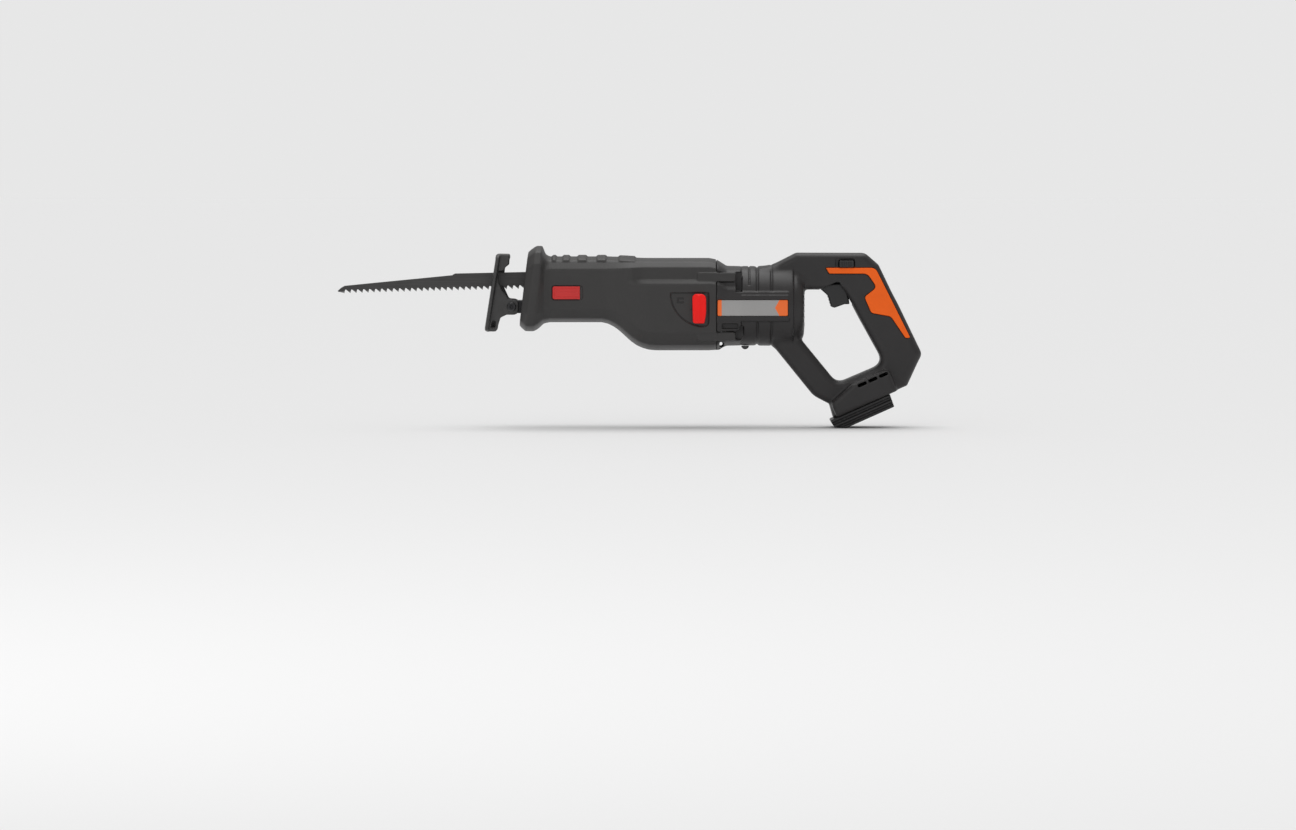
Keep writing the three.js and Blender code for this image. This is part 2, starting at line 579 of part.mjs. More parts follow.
// ---------------------------------------------------------------- plunger, blade clamp and blade
function makePlunger() {
  const body = joined([
    rod(-302.5, WOBBLE_X, PLUNGER_R, 0, STROKE_Z, 20),
    rod(-309, -302, 6, 0, STROKE_Z, 20),
    rod(WOBBLE_X, -176, PLUNGER_REAR_R, 0, STROKE_Z, 20),
    box(WOBBLE_X - 12, WOBBLE_X + 12, -10, 10, STROKE_Z - 9, STROKE_Z + 9),
  ]);
  const upright = (r, z0, z1) => solid(new THREE.CylinderGeometry(r, r, z1 - z0, 20).rotateX(Math.PI / 2)
    .translate(WOBBLE_X, 0, (z0 + z1) / 2));
  return cutBy(body, [upright(FINGER_BALL_R + 0.45, STROKE_Z - 10, STROKE_Z + 6.2),
    upright(7.8, STROKE_Z - 10, STROKE_Z - 4)]);
}
add("plunger", makePlunger(), steel);

const BLADE_THICK = 1.3;
const TANG = { x1: -311, half: 6, holeX: -316.5, holeR: 2.4 };
const CLAMP = { x0: -325, x1: -303, r: 10 };
function makeClampBody() {
  const body = rod(CLAMP.x0, CLAMP.x1, CLAMP.r, 0, STROKE_Z);
  return cutBy(body, [
    rod(-309.4, -300, 6 + GAP, 0, STROKE_Z, 20),
    box(-330, TANG.x1 + GAP, -(BLADE_THICK / 2 + GAP), BLADE_THICK / 2 + GAP, STROKE_Z - TANG.half - GAP,
      STROKE_Z + TANG.half + GAP),
    crossRod(TANG.holeX, STROKE_Z, -20, 20, TANG.holeR + GAP, 16),
  ]);
}
add("clamp_body", makeClampBody(), steel);
add("clamp_pin", crossRodGeometry(TANG.holeX, STROKE_Z, -9.4, 9.4, TANG.holeR - GAP, 16), steel);

// The clamp collar turns on the clamp body to let the blade go. It has grip flutes and a thumb tab.
function makeClampCollar() {
  const collar = tube(-321, -305, CLAMP.r + GAP + 0.1, 14, 0, STROKE_Z);
  const flutes = [0, 1, 2, 3, 4, 5, 6, 7].map((i) => {
    const angle = ((i + 0.5) * Math.PI) / 4;
    return rod(-325, -300, 1.6, 14.6 * Math.cos(angle), STROKE_Z + 14.6 * Math.sin(angle), 8);
  });
  return cutBy(collar.add(box(-319, -307, -2.5, 2.5, STROKE_Z + 12, STROKE_Z + 16.5)), flutes);
}
add("clamp_collar", makeClampCollar(), blackPlastic);

// Wood-cutting blade. Its back and its tooth line both rise a little towards the tool.
const BLADE = { tipX: -528, heelX: -331, pitch: 6, toothDepth: 3 };
const toothLine = (x) => 124.6 + (x - BLADE.tipX) * 0.0253;
function makeBlade() {
  const points = [
    [TANG.x1, STROKE_Z - TANG.half], [TANG.x1, STROKE_Z + TANG.half], [-326.2, STROKE_Z + TANG.half],
    [-329, 146.6], [-411.5, 144.6], [-413.5, 142.9], [-521, 132.2], [BLADE.tipX, 127.5],
  ];
  const teeth = Math.floor((BLADE.heelX - BLADE.tipX - 3) / BLADE.pitch);
  for (let i = 0; i < teeth; i++) {
    const x = BLADE.tipX + 1.5 + i * BLADE.pitch;
    points.push([x, toothLine(x) + (i ? BLADE.toothDepth : 1.2)]);
    points.push([x + BLADE.pitch * 0.62, toothLine(x) + 1]);
    points.push([x + BLADE.pitch * 0.86, toothLine(x)]);
    points.push([x + BLADE.pitch * 0.94, toothLine(x) + BLADE.toothDepth * 0.7]);
  }
  points.push([BLADE.heelX, toothLine(BLADE.heelX) + BLADE.toothDepth]);
  points.push([-326.2, STROKE_Z - TANG.half]);
  const hole = [];
  for (let k = 0; k < 16; k++) {
    hole.push(new THREE.Vector2(TANG.holeX + TANG.holeR * Math.cos((k * Math.PI) / 8),
      STROKE_Z + TANG.holeR * Math.sin((k * Math.PI) / 8)));
  }
  return slab(points.map(([x, z]) => new THREE.Vector2(x, z)), -BLADE_THICK / 2, BLADE_THICK / 2, [hole]);
}
add("blade", makeBlade(), coatedSteel);

// ---------------------------------------------------------------- shoe
const SHOE_OUTLINE = cornersOf([
  [-380.2, 88, 4], [-369.5, 87.2, 4], [-365.5, 100.5, 4], [-359, 103.6, 3], [-347, 103.6, 6],
    [-347, 118.8, 7],
  [-357, 119.6, 2], [-363.2, 133, 9], [-361, 150, 2], [-356.8, 153.5, 2], [-356.4, 163.2, 1.5],
    [-368.4, 163.4, 4],
]);
const SHOE_FACE_LEAN = Math.atan2(-368.4 + 380.2, 163.4 - 88);
const SHOE_WALL = { inner: 13, outer: 16 };
function makeShoe() {
  const walls = [-1, 1].map((side) => slab(
    roundedPoints(SHOE_OUTLINE, 3),
    side < 0 ? -SHOE_WALL.outer : SHOE_WALL.inner,
    side < 0 ? -SHOE_WALL.inner : SHOE_WALL.outer,
  ));
  // The face plate leans with the walls' front edge, and has a slot for the blade.
  const plateCorners = cornersOf([[-22, 0, 9], [22, 0, 9], [22, 75.5, 9], [-22, 75.5, 9]]);
  const slotCorners = cornersOf([[-7, 16, 5], [7, 16, 5], [7, 68, 5], [-7, 68, 5]]);
  const face = new THREE.Shape(roundedPoints(plateCorners, 4));
  face.holes.push(new THREE.Path(roundedPoints(slotCorners, 4)));
  const plateGeometry = new THREE.ExtrudeGeometry(face, { depth: 3, bevelEnabled: false });
  const plate = solid(plateGeometry.rotateX(Math.PI / 2).rotateZ(Math.PI / 2).rotateY(SHOE_FACE_LEAN)
    .translate(-380.4, 0, 88));
  const roof = box(-368, -356.4, -14, 14, 159.6, 163.2);
  const heel = box(-378, -369, -14, 14, 87.8, 91);
  const body = joined([...walls, plate, roof, heel]);
  return body.subtract(crossRod(SHOE_PIVOT.x, SHOE_PIVOT.z, -30, 30, 3 + GAP));
}
add("shoe", makeShoe(), shoeMetal);
function makeShoePin() {
  const headed = joined([
    crossRod(0, 0, -17.6, 17.6, 3, 16),
    crossRod(0, 0, -18.4, -16.3, 4.6, 16),
    crossRod(0, 0, 16.3, 18.4, 4.6, 16),
  ]);
  return headed;
}
add("shoe_pivot_pin", makeShoePin(), steel, SHOE_PIVOT.x, 0, SHOE_PIVOT.z);

function makeShoePost() {
  const nose = slab(
    roundedPoints(cornersOf([[POST.x0, POST.z0, 6], [POST.x1, POST.z0, 1], [POST.x1, POST.z1, 1],
      [POST.x0, POST.z1, 6]]), 3),
    -POST.half,
    POST.half,
  );
  const channel = box(-340, POST.x1 + 1, -(POST.half - 3), POST.half - 3, POST.z0 - 1, POST.z1 - 3);
  const notches = [0, 1, 2].map((i) => box(-283 + i * 7, -280 + i * 7, -5, 5, POST.z1 - 4, POST.z1 + 1));
  return cutBy(nose, [channel, crossRod(SHOE_PIVOT.x, SHOE_PIVOT.z, -30, 30, 3 + GAP), ...notches]);
}
add("shoe_post", makeShoePost(), steel);

// ---------------------------------------------------------------- motor
const STATOR = { x0: -146, x1: -112, bore: 14.8, r: 27 };
function makeStator() {
  const ring = tube(STATOR.x0, STATOR.x1, 22, STATOR.r, 0, 0, 30);
  const teeth = [0, 1, 2, 3, 4, 5].map((i) => {
    const angle = (i * Math.PI) / 3;
    const web = spunBox(angle, STATOR.x0, STATOR.x1, -3.2, 3.2, 16, 23);
    return web.add(spunBox(angle, STATOR.x0, STATOR.x1, -6.2, 6.2, STATOR.bore + 0.2, 17));
  });
  return joined([ring, ...teeth]);
}
add("motor_stator", makeStator(), steel, 0, 0, MOTOR_Z);

// Six coils, joined by the end ring that carries their leads.
function makeWindings() {
  const ring = tube(STATOR.x1 + 2.5, STATOR.x1 + 4.5, 17.8, 20.8, 0, 0, 24);
  const coils = [0, 1, 2, 3, 4, 5].map((i) => {
    const angle = (i * Math.PI) / 3;
    const outside = spunBox(angle, STATOR.x0 - 3.5, STATOR.x1 + 3.5, -5.6, 5.6, 17.6, 20.9);
    return outside.subtract(spunBox(angle, STATOR.x0 - GAP, STATOR.x1 + GAP, -3.6, 3.6, 10, 30));
  });
  return joined([ring, ...coils]);
}
add("motor_windings", makeWindings(), copper, 0, 0, MOTOR_Z);

const pinion = solid(gearGeometry(PINION_TEETH, -Math.PI / 2, -200, -188));
add("rotor_shaft", joined([pinion, rod(-188.2, -81, 3, 0, 0, 20)]), steel, 0, 0, MOTOR_Z);
add("rotor_magnets", tubeGeometry(-148, -110, 3 + GAP, 14, 24), magnetBlack, 0, 0, MOTOR_Z);
function makeFan() {
  const hub = tube(-103, -93, 3 + GAP, 7, 0, 0);
  const disc = tube(-95, -93, 6.5, 24, 0, 0, 24);
  const vanes = [];
  const vaneCount = 11;
  for (let i = 0; i < vaneCount; i++) {
    vanes.push(spunBox((i * 2 * Math.PI) / vaneCount, -103, -94.5, -0.7, 0.7, 6.5, 23.5));
  }
  return joined([hub, disc, ...vanes]);
}
add("cooling_fan", makeFan(), blackPlastic, 0, 0, MOTOR_Z);
add("motor_front_bearing", tubeGeometry(MOTOR_FRONT_BEARING.x0, MOTOR_FRONT_BEARING.x1, 3 + GAP,
  MOTOR_FRONT_BEARING.r, 16), steel, 0, 0, MOTOR_Z);
const MOTOR_REAR_BEARING = { x0: -86, x1: -81, r: 8 };
add("motor_rear_bearing", tubeGeometry(MOTOR_REAR_BEARING.x0, MOTOR_REAR_BEARING.x1, 3 + GAP,
  MOTOR_REAR_BEARING.r, 16), steel, 0, 0, MOTOR_Z);

// ---------------------------------------------------------------- housing shells
const TRIGGER_NOTCH = cornersOf([
  [-47, 126, 1], [-30, 112, 1], [-12, 106.5, 1], [-19, 116, 3], [-22, 126, 6], [-28, 137.2, 3],
    [-45.5, 129.2, 3],
]);
const TRIGGER_OUTLINE = cornersOf([
  [-46.4, 129.4, 1], [-39, 123, 9], [-35.6, 111.6, 2], [-32, 110.4, 2], [-22, 114, 2], [-17, 114, 1],
    [-19.5, 135, 1.5], [-44, 135, 2],
]);
const TRIGGER_HALF = 12;
const TRIGGER_TRAVEL = 6;
const LOCK = { x0: -27.5, x1: -13, z0: 150.8, z1: 157.6 };
const lockCorners = (grow) => cornersOf([
  [LOCK.x0 - grow, LOCK.z0 - grow, 1.2], [LOCK.x1 + grow, LOCK.z0 - grow, 1.2],
  [LOCK.x1 + grow, LOCK.z1 + grow, 1.2], [LOCK.x0 - grow, LOCK.z1 + grow, 1.2],
]);
const PLATE = { x0: -149, x1: -79, z0: 103, z1: 119, thick: 1.2 };
const plateCorners = (grow) => cornersOf([
  [PLATE.x0 - grow, PLATE.z0 - grow, 1], [PLATE.x1 + grow, PLATE.z0 - grow, 1],
  [PLATE.x1 + grow, PLATE.z1 + grow, 1], [PLATE.x0 - grow, PLATE.z1 + grow, 1],
]);
const SCREW_PLACES = [[-136, 78.5], [-104, 78.5], [-66, 156], [-5, 156], [43, 64], [-74, 56], [-27, 12]];
const SCREW = { headR: 3.3, shankR: 1.9, headY: 12, tipY: -10 };

const handleSolid = (inset) =>
  roundedSlab(HANDLE_OUTER, HANDLE_HOLE, HANDLE_HALF, HANDLE_ROUND, inset,
    inset > 2 ? { steps: 1, arc: 1 } : { steps: 2, arc: 2 });
const footSolid = (inset) =>
  roundedSlab(FOOT_OUTLINE, null, FOOT_HALF, 7, inset,
    inset > 2 ? { steps: 1, arc: 1 } : { steps: 2, arc: 2 });
const motorSolid = (inset, x0 = null, x1 = null) => {
  const rows = MOTOR_ROWS.map((row) => ({ ...row }));
  rows[0].x = x0 ?? rows[0].x;
  rows[rows.length - 1].x = x1 ?? rows[rows.length - 1].x;
  return lofted(rows.map((row) => section(row, inset)));
};

function makeHousing() {
  const outside = joined([motorSolid(0), handleSolid(0), footSolid(0)]);
  const motorRoom = motorSolid(SHELL_WALL, -160, -66);
  const triggerRoom = [0, 2, 4, 6].map((shift) => {
    const moved = TRIGGER_OUTLINE.map((c) => ({ ...c, x: c.x + (shift / 6) * TRIGGER_TRAVEL }));
    return slab(roundedPoints(insetCorners(moved, -0.8), 1), -TRIGGER_HALF - 0.5, TRIGGER_HALF + 0.5);
  });
  const inside = joined([motorRoom, handleSolid(SHELL_WALL), footSolid(SHELL_WALL)]);
  const shell = outside.subtract(inside);
  // Ribs inside hold the stator and the rear bearing.
  const statorRib = (x0, x1) => tube(x0, x1, STATOR.r + 0.6, 40, 0, MOTOR_Z, 30);
  const bearingRib = tube(MOTOR_REAR_BEARING.x0, MOTOR_REAR_BEARING.x1, MOTOR_REAR_BEARING.r + GAP, 26.5, 0,
    MOTOR_Z, 20);
  const bearingStay = box(MOTOR_REAR_BEARING.x0, MOTOR_REAR_BEARING.x1, -40, 40, 104, 121)
    .subtract(rod(-90, -70, 20, 0, MOTOR_Z));
  const ribs = joined([statorRib(-142, -139), statorRib(-119, -116), bearingRib, bearingStay])
    .intersect(motorSolid(1));
  const bosses = SCREW_PLACES.map(([x, z]) => crossRod(x, z, -40, 40, 4.6, 8))
    .map((pillar) => pillar.intersect(outside));
  const pockets = TABS.map(({ tab, side }) => tabBlock(tab, side, GAP, POCKET_LENGTH));
  const tail = box(TAIL.x0, TAIL.x1 + GAP, -TAIL.half - GAP, TAIL.half + GAP, TAIL.z0 - 5, TAIL.z1 + GAP);
  const foot = new THREE.Matrix4().makeRotationY(-FOOT_TILT);
  const vent = (u) => solid(new THREE.BoxGeometry(8.5, 80, 3),
    new THREE.Matrix4().makeTranslation(u, 0, 33.6).premultiply(foot));
  const footVents = [7.5, 19, 30.5].map((u) => vent(u).subtract(box(-60, 60, -26, 26, -20, 80)));
  const rearVents = [98, 104, 110, 116, 122].map((z) => box(-75, -55, -20, 20, z - 1.4, z + 1.4)
    .subtract(box(-80, -50, -3, 3, 80, 140)));
  const accent = slab(roundedPoints(insetCorners(ACCENT_OUTLINE, -GAP), 2), -30, 30)
    .subtract(handleSolid(1.5));
  const plates = slab(roundedPoints(plateCorners(GAP), 1), -45, 45)
    .subtract(box(-200, 0, -(motorRow.lowerHalf - 0.8), motorRow.lowerHalf - 0.8, 90, 140));
  const lock = slab(roundedPoints(lockCorners(GAP), 2), -30, 30);
  const trigger = slab(roundedPoints(TRIGGER_NOTCH, 2), -30, 30);
  const screws = SCREW_PLACES.flatMap(([x, z]) => [
    crossRod(x, z, SCREW.tipY - 0.5, SCREW.headY, SCREW.shankR + 0.4, 8),
    crossRod(x, z, SCREW.headY - GAP, 60, SCREW.headR + 0.6, 10),
  ]);
  return cutBy(joined([shell, ribs, ...bosses]), [
    ...pockets, tail, ...footVents, ...rearVents, accent, plates, lock, trigger, ...triggerRoom, ...screws,
  ]);
}
const housing = makeHousing();
add("left_housing_shell", housing.intersect(box(-300, 200, -60, -0.15, -60, 260)), charcoalPlastic);
add("right_housing_shell", housing.intersect(box(-300, 200, 0.15, 60, -60, 260)), charcoalPlastic);

// Orange inlays follow the grip's rounded flanks. Label plates sit in shallow pockets.
const inlay = slab(roundedPoints(ACCENT_OUTLINE, 2), -30, 30).intersect(handleSolid(-0.4))
  .subtract(handleSolid(1.2));
const notch = slab(roundedPoints(lockCorners(2 * GAP), 2), -30, 30);
const inlayCut = inlay.subtract(notch);
add("left_accent_inlay", inlayCut.intersect(box(-100, 100, -30, -2, 50, 200)), orangePlastic);
add("right_accent_inlay", inlayCut.intersect(box(-100, 100, 2, 30, 50, 200)), orangePlastic);
[["left", -1], ["right", 1]].forEach(([name, side]) => {
  const inner = motorRow.lowerHalf - 0.5;
  const outer = inner + PLATE.thick;
  add(`${name}_label_plate`, slab(roundedPoints(plateCorners(0), 1), side < 0 ? -outer : inner,
    side < 0 ? -inner : outer), greyPlate);
});

// Housing screws, driven from the right side.
SCREW_PLACES.forEach(([x, z], i) => {
  const shank = crossRod(0, 0, SCREW.tipY, SCREW.headY + 1, SCREW.shankR, 8);
  const head = crossRod(0, 0, SCREW.headY, SCREW.headY + 2.4, SCREW.headR, 10);
  add(`housing_screw_${i + 1}`, shank.add(head), steel, x, 0, z);
});

// Tether lug under the housing.
const LUG = { x: -121, z: 72.2, r: 4, half: 4 };
add(
  "tether_lug",
  crossRod(LUG.x, LUG.z + 0.6, -LUG.half, LUG.half, LUG.r, 12)
    .intersect(box(-140, -100, -10, 10, 50, LUG.z)),
  blackPlastic,
);

// ---------------------------------------------------------------- battery foot
function makeRail() {
  const outline = roundedPoints(cornersOf([[-22, 0, 3], [30, 0, 2], [31, RAIL_HEIGHT, 1],
    [-34, RAIL_HEIGHT, 1], [-33, 6, 3]]), 2);
  const block = slab(outline, -RAIL_HALF, RAIL_HALF);
  const grooves = [-1, 1].flatMap((side) => [2.6, 7.8].map((z) => {
    const inner = RAIL_HALF - 3.5;
    return box(-26, 40, side < 0 ? -30 : inner, side < 0 ? -inner : 30, z, z + 2.4);
  }));
  const slots = [-15, -9, 9, 15].map((y) => box(-40, 12, y - 1.6, y + 1.6, -1, 9));
  return cutBy(block, [...grooves, ...slots]);
}
const foot = new THREE.Group();
foot.rotation.y = -FOOT_TILT;
saw.add(foot);
const rail = add("battery_rail", makeRail(), blackPlastic);
foot.add(rail);
[-15, -9, 9, 15].forEach((y, i) => {
  const contact = add(`battery_contact_${i + 1}`, box(-16, 11.5, y - 0.4, y + 0.4, 1.5, 8.7), copper);
  foot.add(contact);
});
const board = add("controller_board", box(-14, 34, -24, 24, 18.5, 22), boardGreen);
foot.add(board);

// ---------------------------------------------------------------- trigger, switch and lock button
add("trigger", roundedSlab(TRIGGER_OUTLINE, null, TRIGGER_HALF, 2.4, 0, { steps: 2, arc: 2 }),
  charcoalPlastic);
add("trigger_switch", box(-8.5, 7, -9.5, 9.5, 119, 144), blackPlastic);

// The return spring sits between the trigger and its switch.
class SpringPath extends THREE.Curve {
  getPoint(t, target = new THREE.Vector3()) {
    const angle = t * 3.5 * 2 * Math.PI;
    return target.set(-17.7 + 8 * t, 3.2 * Math.cos(angle), 126 + 3.2 * Math.sin(angle));
  }
}
const springWire = new THREE.Shape();
springWire.absarc(0, 0, 0.5, 0, 2 * Math.PI);
add(
  "trigger_spring",
  new THREE.ExtrudeGeometry(springWire, { steps: 28, extrudePath: new SpringPath(), curveSegments: 2 }),
  springSteel,
);
add("lock_button", slab(roundedPoints(lockCorners(0), 2), -19.4, 17.4), blackPlastic);

// ---------------------------------------------------------------- mode lever
function makeLever() {
  const face = -(gearRow.lowerHalf - SECTOR_DEPTH + GAP);
  const corners = cornersOf([[-6, -22.3, 3], [5.5, -22.3, 4], [7.2, -12, 4], [7.2, 7, 6.5],
    [-6.6, 7, 6.5]]);
  const bar = slab(roundedPoints(corners, 3), face - 6.5, face);
  const shaft = crossRod(0, 0, face - 1, -27, LEVER_SHAFT_R, 16);
  const eccentric = crossRod(1.2, 0, -28, -24, 1.8, 10);
  return joined([bar, shaft, eccentric]);
}
add("mode_lever", makeLever(), redPlastic, LEVER_PIVOT.x, 0, LEVER_PIVOT.z);

// ---------------------------------------------------------------- wiring inside the shells
// An insulated lead along a smooth path through the points given.
function leadGeometry(points, radius, steps) {
  const path = new THREE.CatmullRomCurve3(points.map(([x, y, z]) => new THREE.Vector3(x, y, z)));
  const ring = new THREE.Shape();
  ring.absarc(0, 0, radius, 0, 2 * Math.PI);
  return new THREE.ExtrudeGeometry(ring, { steps, extrudePath: path, curveSegments: 3 });
}
add("battery_leads", leadGeometry([[17, 0, 38], [30, 0, 50], [36, 3, 64], [25, 3, 84], [9, 0, 106],
  [2, 0, 116.4]], 2, 12), leadRed);
add("motor_leads", leadGeometry([[-4, 3, 147], [-14, 5, 146], [-36, 5, 141.5], [-62, 5, 142],
  [-88, 3, 143.6], [-102, 1, 142.4], [-108.6, 0, 136.4]], 1.9, 14), leadRed);

export default saw;
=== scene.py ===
"""A cordless reciprocating saw, without its battery pack: rubber-booted gear case, blade, shoe,
motor housing, D-shaped handle and battery foot. Lengths are millimetres until a mesh is made."""

import json
import math

import bmesh
import bpy
import numpy as np
import openvdb
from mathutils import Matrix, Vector

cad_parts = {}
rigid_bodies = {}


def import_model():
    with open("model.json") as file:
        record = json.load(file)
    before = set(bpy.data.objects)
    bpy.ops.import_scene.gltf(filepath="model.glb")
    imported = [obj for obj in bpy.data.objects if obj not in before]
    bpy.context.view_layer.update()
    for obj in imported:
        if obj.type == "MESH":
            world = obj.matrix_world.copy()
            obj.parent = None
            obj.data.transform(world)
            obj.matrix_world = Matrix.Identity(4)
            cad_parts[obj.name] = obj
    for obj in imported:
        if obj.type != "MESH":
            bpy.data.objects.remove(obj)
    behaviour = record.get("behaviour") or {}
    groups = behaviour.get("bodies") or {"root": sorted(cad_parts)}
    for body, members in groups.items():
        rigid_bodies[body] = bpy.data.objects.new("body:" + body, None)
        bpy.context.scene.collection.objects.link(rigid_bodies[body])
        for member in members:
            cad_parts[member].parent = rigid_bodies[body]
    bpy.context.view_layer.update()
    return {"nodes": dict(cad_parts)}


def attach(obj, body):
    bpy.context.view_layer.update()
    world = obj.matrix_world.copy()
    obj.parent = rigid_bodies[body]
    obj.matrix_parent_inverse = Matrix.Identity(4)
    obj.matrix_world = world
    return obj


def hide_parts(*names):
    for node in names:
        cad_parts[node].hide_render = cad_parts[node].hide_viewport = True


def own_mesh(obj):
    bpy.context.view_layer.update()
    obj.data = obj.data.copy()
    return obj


for leftover in list(bpy.data.objects):
    bpy.data.objects.remove(leftover)
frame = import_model()
nodes = frame["nodes"]
MM = 0.001

# ------------------------------------------------------------------ gear case
# The gear case and its rear cover are die cast in aluminium alloy and bolted together. The rubber
# boot hides them, apart from the walls of the nose, which show round the blade clamp.
MULTIPLY, MULTIPLY_ADD = {"operation": "MULTIPLY"}, {"operation": "MULTIPLY_ADD"}


def node_group(name, inputs, outputs):
    """An empty shader group with its float inputs, {name: value}, and outputs, {name: socket kind}."""
    group = bpy.data.node_groups.new(name, "ShaderNodeTree")
    for key, value in inputs.items():
        socket = group.interface.new_socket(key, in_out="INPUT", socket_type="NodeSocketFloat")
        socket.default_value = value
    for key, kind in outputs.items():
        group.interface.new_socket(key, in_out="OUTPUT", socket_type=kind)
    return group, group.nodes.new("NodeGroupInput").outputs, group.nodes.new("NodeGroupOutput").inputs


def joined(tree, kind, settings=None, **links):
    """Adds a shader node. Links go to its inputs by name, with _ for a space, or by number as n0, n1."""
    node = tree.nodes.new(kind)
    for key, value in (settings or {}).items():
        setattr(node, key, value)
    for key, value in links.items():
        if key[0] == "n" and key[1:].isdigit():
            socket = node.inputs[int(key[1:])]
        else:
            socket = node.inputs[key.replace("_", " ")]
        if isinstance(value, bpy.types.NodeSocket):
            tree.links.new(value, socket)
        else:
            socket.default_value = value
    return node


def grain_group():
    """Fine pits and slow mottling, as on a moulding from an etched tool or on a casting."""
    group, given, result = node_group(
        "surface_grain",
        {"Pit Size": 0.6, "Mottle Size": 30.0},
        {"Height": "NodeSocketFloat", "Mottle": "NodeSocketFloat"},
    )
    place = joined(group, "ShaderNodeTexCoord").outputs["Object"]
    pit_scale = joined(group, "ShaderNodeMath", {"operation": "DIVIDE"}, n0=1000.0, n1=given["Pit Size"])
    slow_scale = joined(group, "ShaderNodeMath", {"operation": "DIVIDE"}, n0=1000.0, n1=given["Mottle Size"])
    fine, broad = pit_scale.outputs[0], slow_scale.outputs[0]
    pits = joined(group, "ShaderNodeTexNoise", Vector=place, Scale=fine, Detail=2.0, Roughness=0.6)
    cells = joined(group, "ShaderNodeTexVoronoi", Vector=place, Scale=fine).outputs["Distance"]
    slow = joined(group, "ShaderNodeTexNoise", Vector=place, Scale=broad, Detail=5.0, Roughness=0.62)
    height = joined(group, "ShaderNodeMath", MULTIPLY_ADD, n0=cells, n1=-0.5, n2=pits.outputs[0])
    group.links.new(height.outputs[0], result["Height"])
    group.links.new(slow.outputs[0], result["Mottle"])
    return group


def wear_group():
    """A mask of the proud edges, broken up by noise, where handling rubs a surface."""
    group, given, result = node_group(
        "rubbed_edges", {"Reach": 0.04, "Patch Size": 8.0}, {"Mask": "NodeSocketFloat"}
    )
    place = joined(group, "ShaderNodeTexCoord").outputs["Object"]
    scale = joined(group, "ShaderNodeMath", {"operation": "DIVIDE"}, n0=1000.0, n1=given["Patch Size"])
    patches = joined(group, "ShaderNodeTexNoise", Vector=place, Scale=scale.outputs[0], Detail=4.0)
    sharp = joined(group, "ShaderNodeNewGeometry").outputs["Pointiness"]
    start = joined(group, "ShaderNodeMath", {"operation": "SUBTRACT"}, n0=0.58, n1=given["Reach"])
    eased = {"interpolation_type": "SMOOTHSTEP"}
    edge = joined(group, "ShaderNodeMapRange", eased, n0=sharp, n1=start.outputs[0], n2=0.62)
    broken = joined(group, "ShaderNodeMapRange", n0=patches.outputs[0], n1=0.38, n2=0.62)
    mask = joined(group, "ShaderNodeMath", MULTIPLY, n0=edge.outputs[0], n1=broken.outputs[0])
    group.links.new(mask.outputs[0], result["Mask"])
    return group


def dust_group():
    """A mask of fine dust, which settles on what faces up and in broad patches."""
    group, given, result = node_group(
        "settled_dust", {"Amount": 0.3, "Patch Size": 40.0}, {"Mask": "NodeSocketFloat"}
    )
    place = joined(group, "ShaderNodeTexCoord").outputs["Object"]
    scale = joined(group, "ShaderNodeMath", {"operation": "DIVIDE"}, n0=1000.0, n1=given["Patch Size"])
    per_patch = scale.outputs[0]
    patches = joined(group, "ShaderNodeTexNoise", Vector=place, Scale=per_patch, Detail=6.0, Roughness=0.7)
    specks = joined(group, "ShaderNodeTexNoise", Vector=place, Scale=900.0, Detail=2.0)
    normal = joined(group, "ShaderNodeNewGeometry").outputs["Normal"]
    facing = joined(group, "ShaderNodeSeparateXYZ", n0=normal)
    up = joined(group, "ShaderNodeMapRange", n0=facing.outputs[2], n1=-0.2, n2=1.0, n3=0.15, n4=1.0)
    broad = joined(group, "ShaderNodeMapRange", n0=patches.outputs[0], n1=0.35, n2=0.75)
    fine = joined(group, "ShaderNodeMapRange", n0=specks.outputs[0], n1=0.4, n2=0.7, n3=0.5, n4=1.0)
    both = joined(group, "ShaderNodeMath", MULTIPLY, n0=up.outputs[0], n1=broad.outputs[0])
    lying = joined(group, "ShaderNodeMath", MULTIPLY, n0=both.outputs[0], n1=fine.outputs[0])
    mask = joined(group, "ShaderNodeMath", MULTIPLY, n0=lying.outputs[0], n1=given["Amount"])
    group.links.new(mask.outputs[0], result["Mask"])
    return group


GRAIN, WEAR, DUST = grain_group(), wear_group(), dust_group()
DUST_COLOUR = (0.32, 0.29, 0.25)


def colour_mix(tree, mask, first, second, how="MIX"):
    """Mixes two colours by a mask. Either may be a colour or an output."""
    node = tree.nodes.new("ShaderNodeMix")
    node.data_type = "RGBA"
    node.blend_type = how
    for socket, value in ((node.inputs[0], mask), (node.inputs[6], first), (node.inputs[7], second)):
        if isinstance(value, bpy.types.NodeSocket):
            tree.links.new(value, socket)
        else:
            socket.default_value = value if isinstance(value, float) else (*value, 1.0)
    return node.outputs[2]


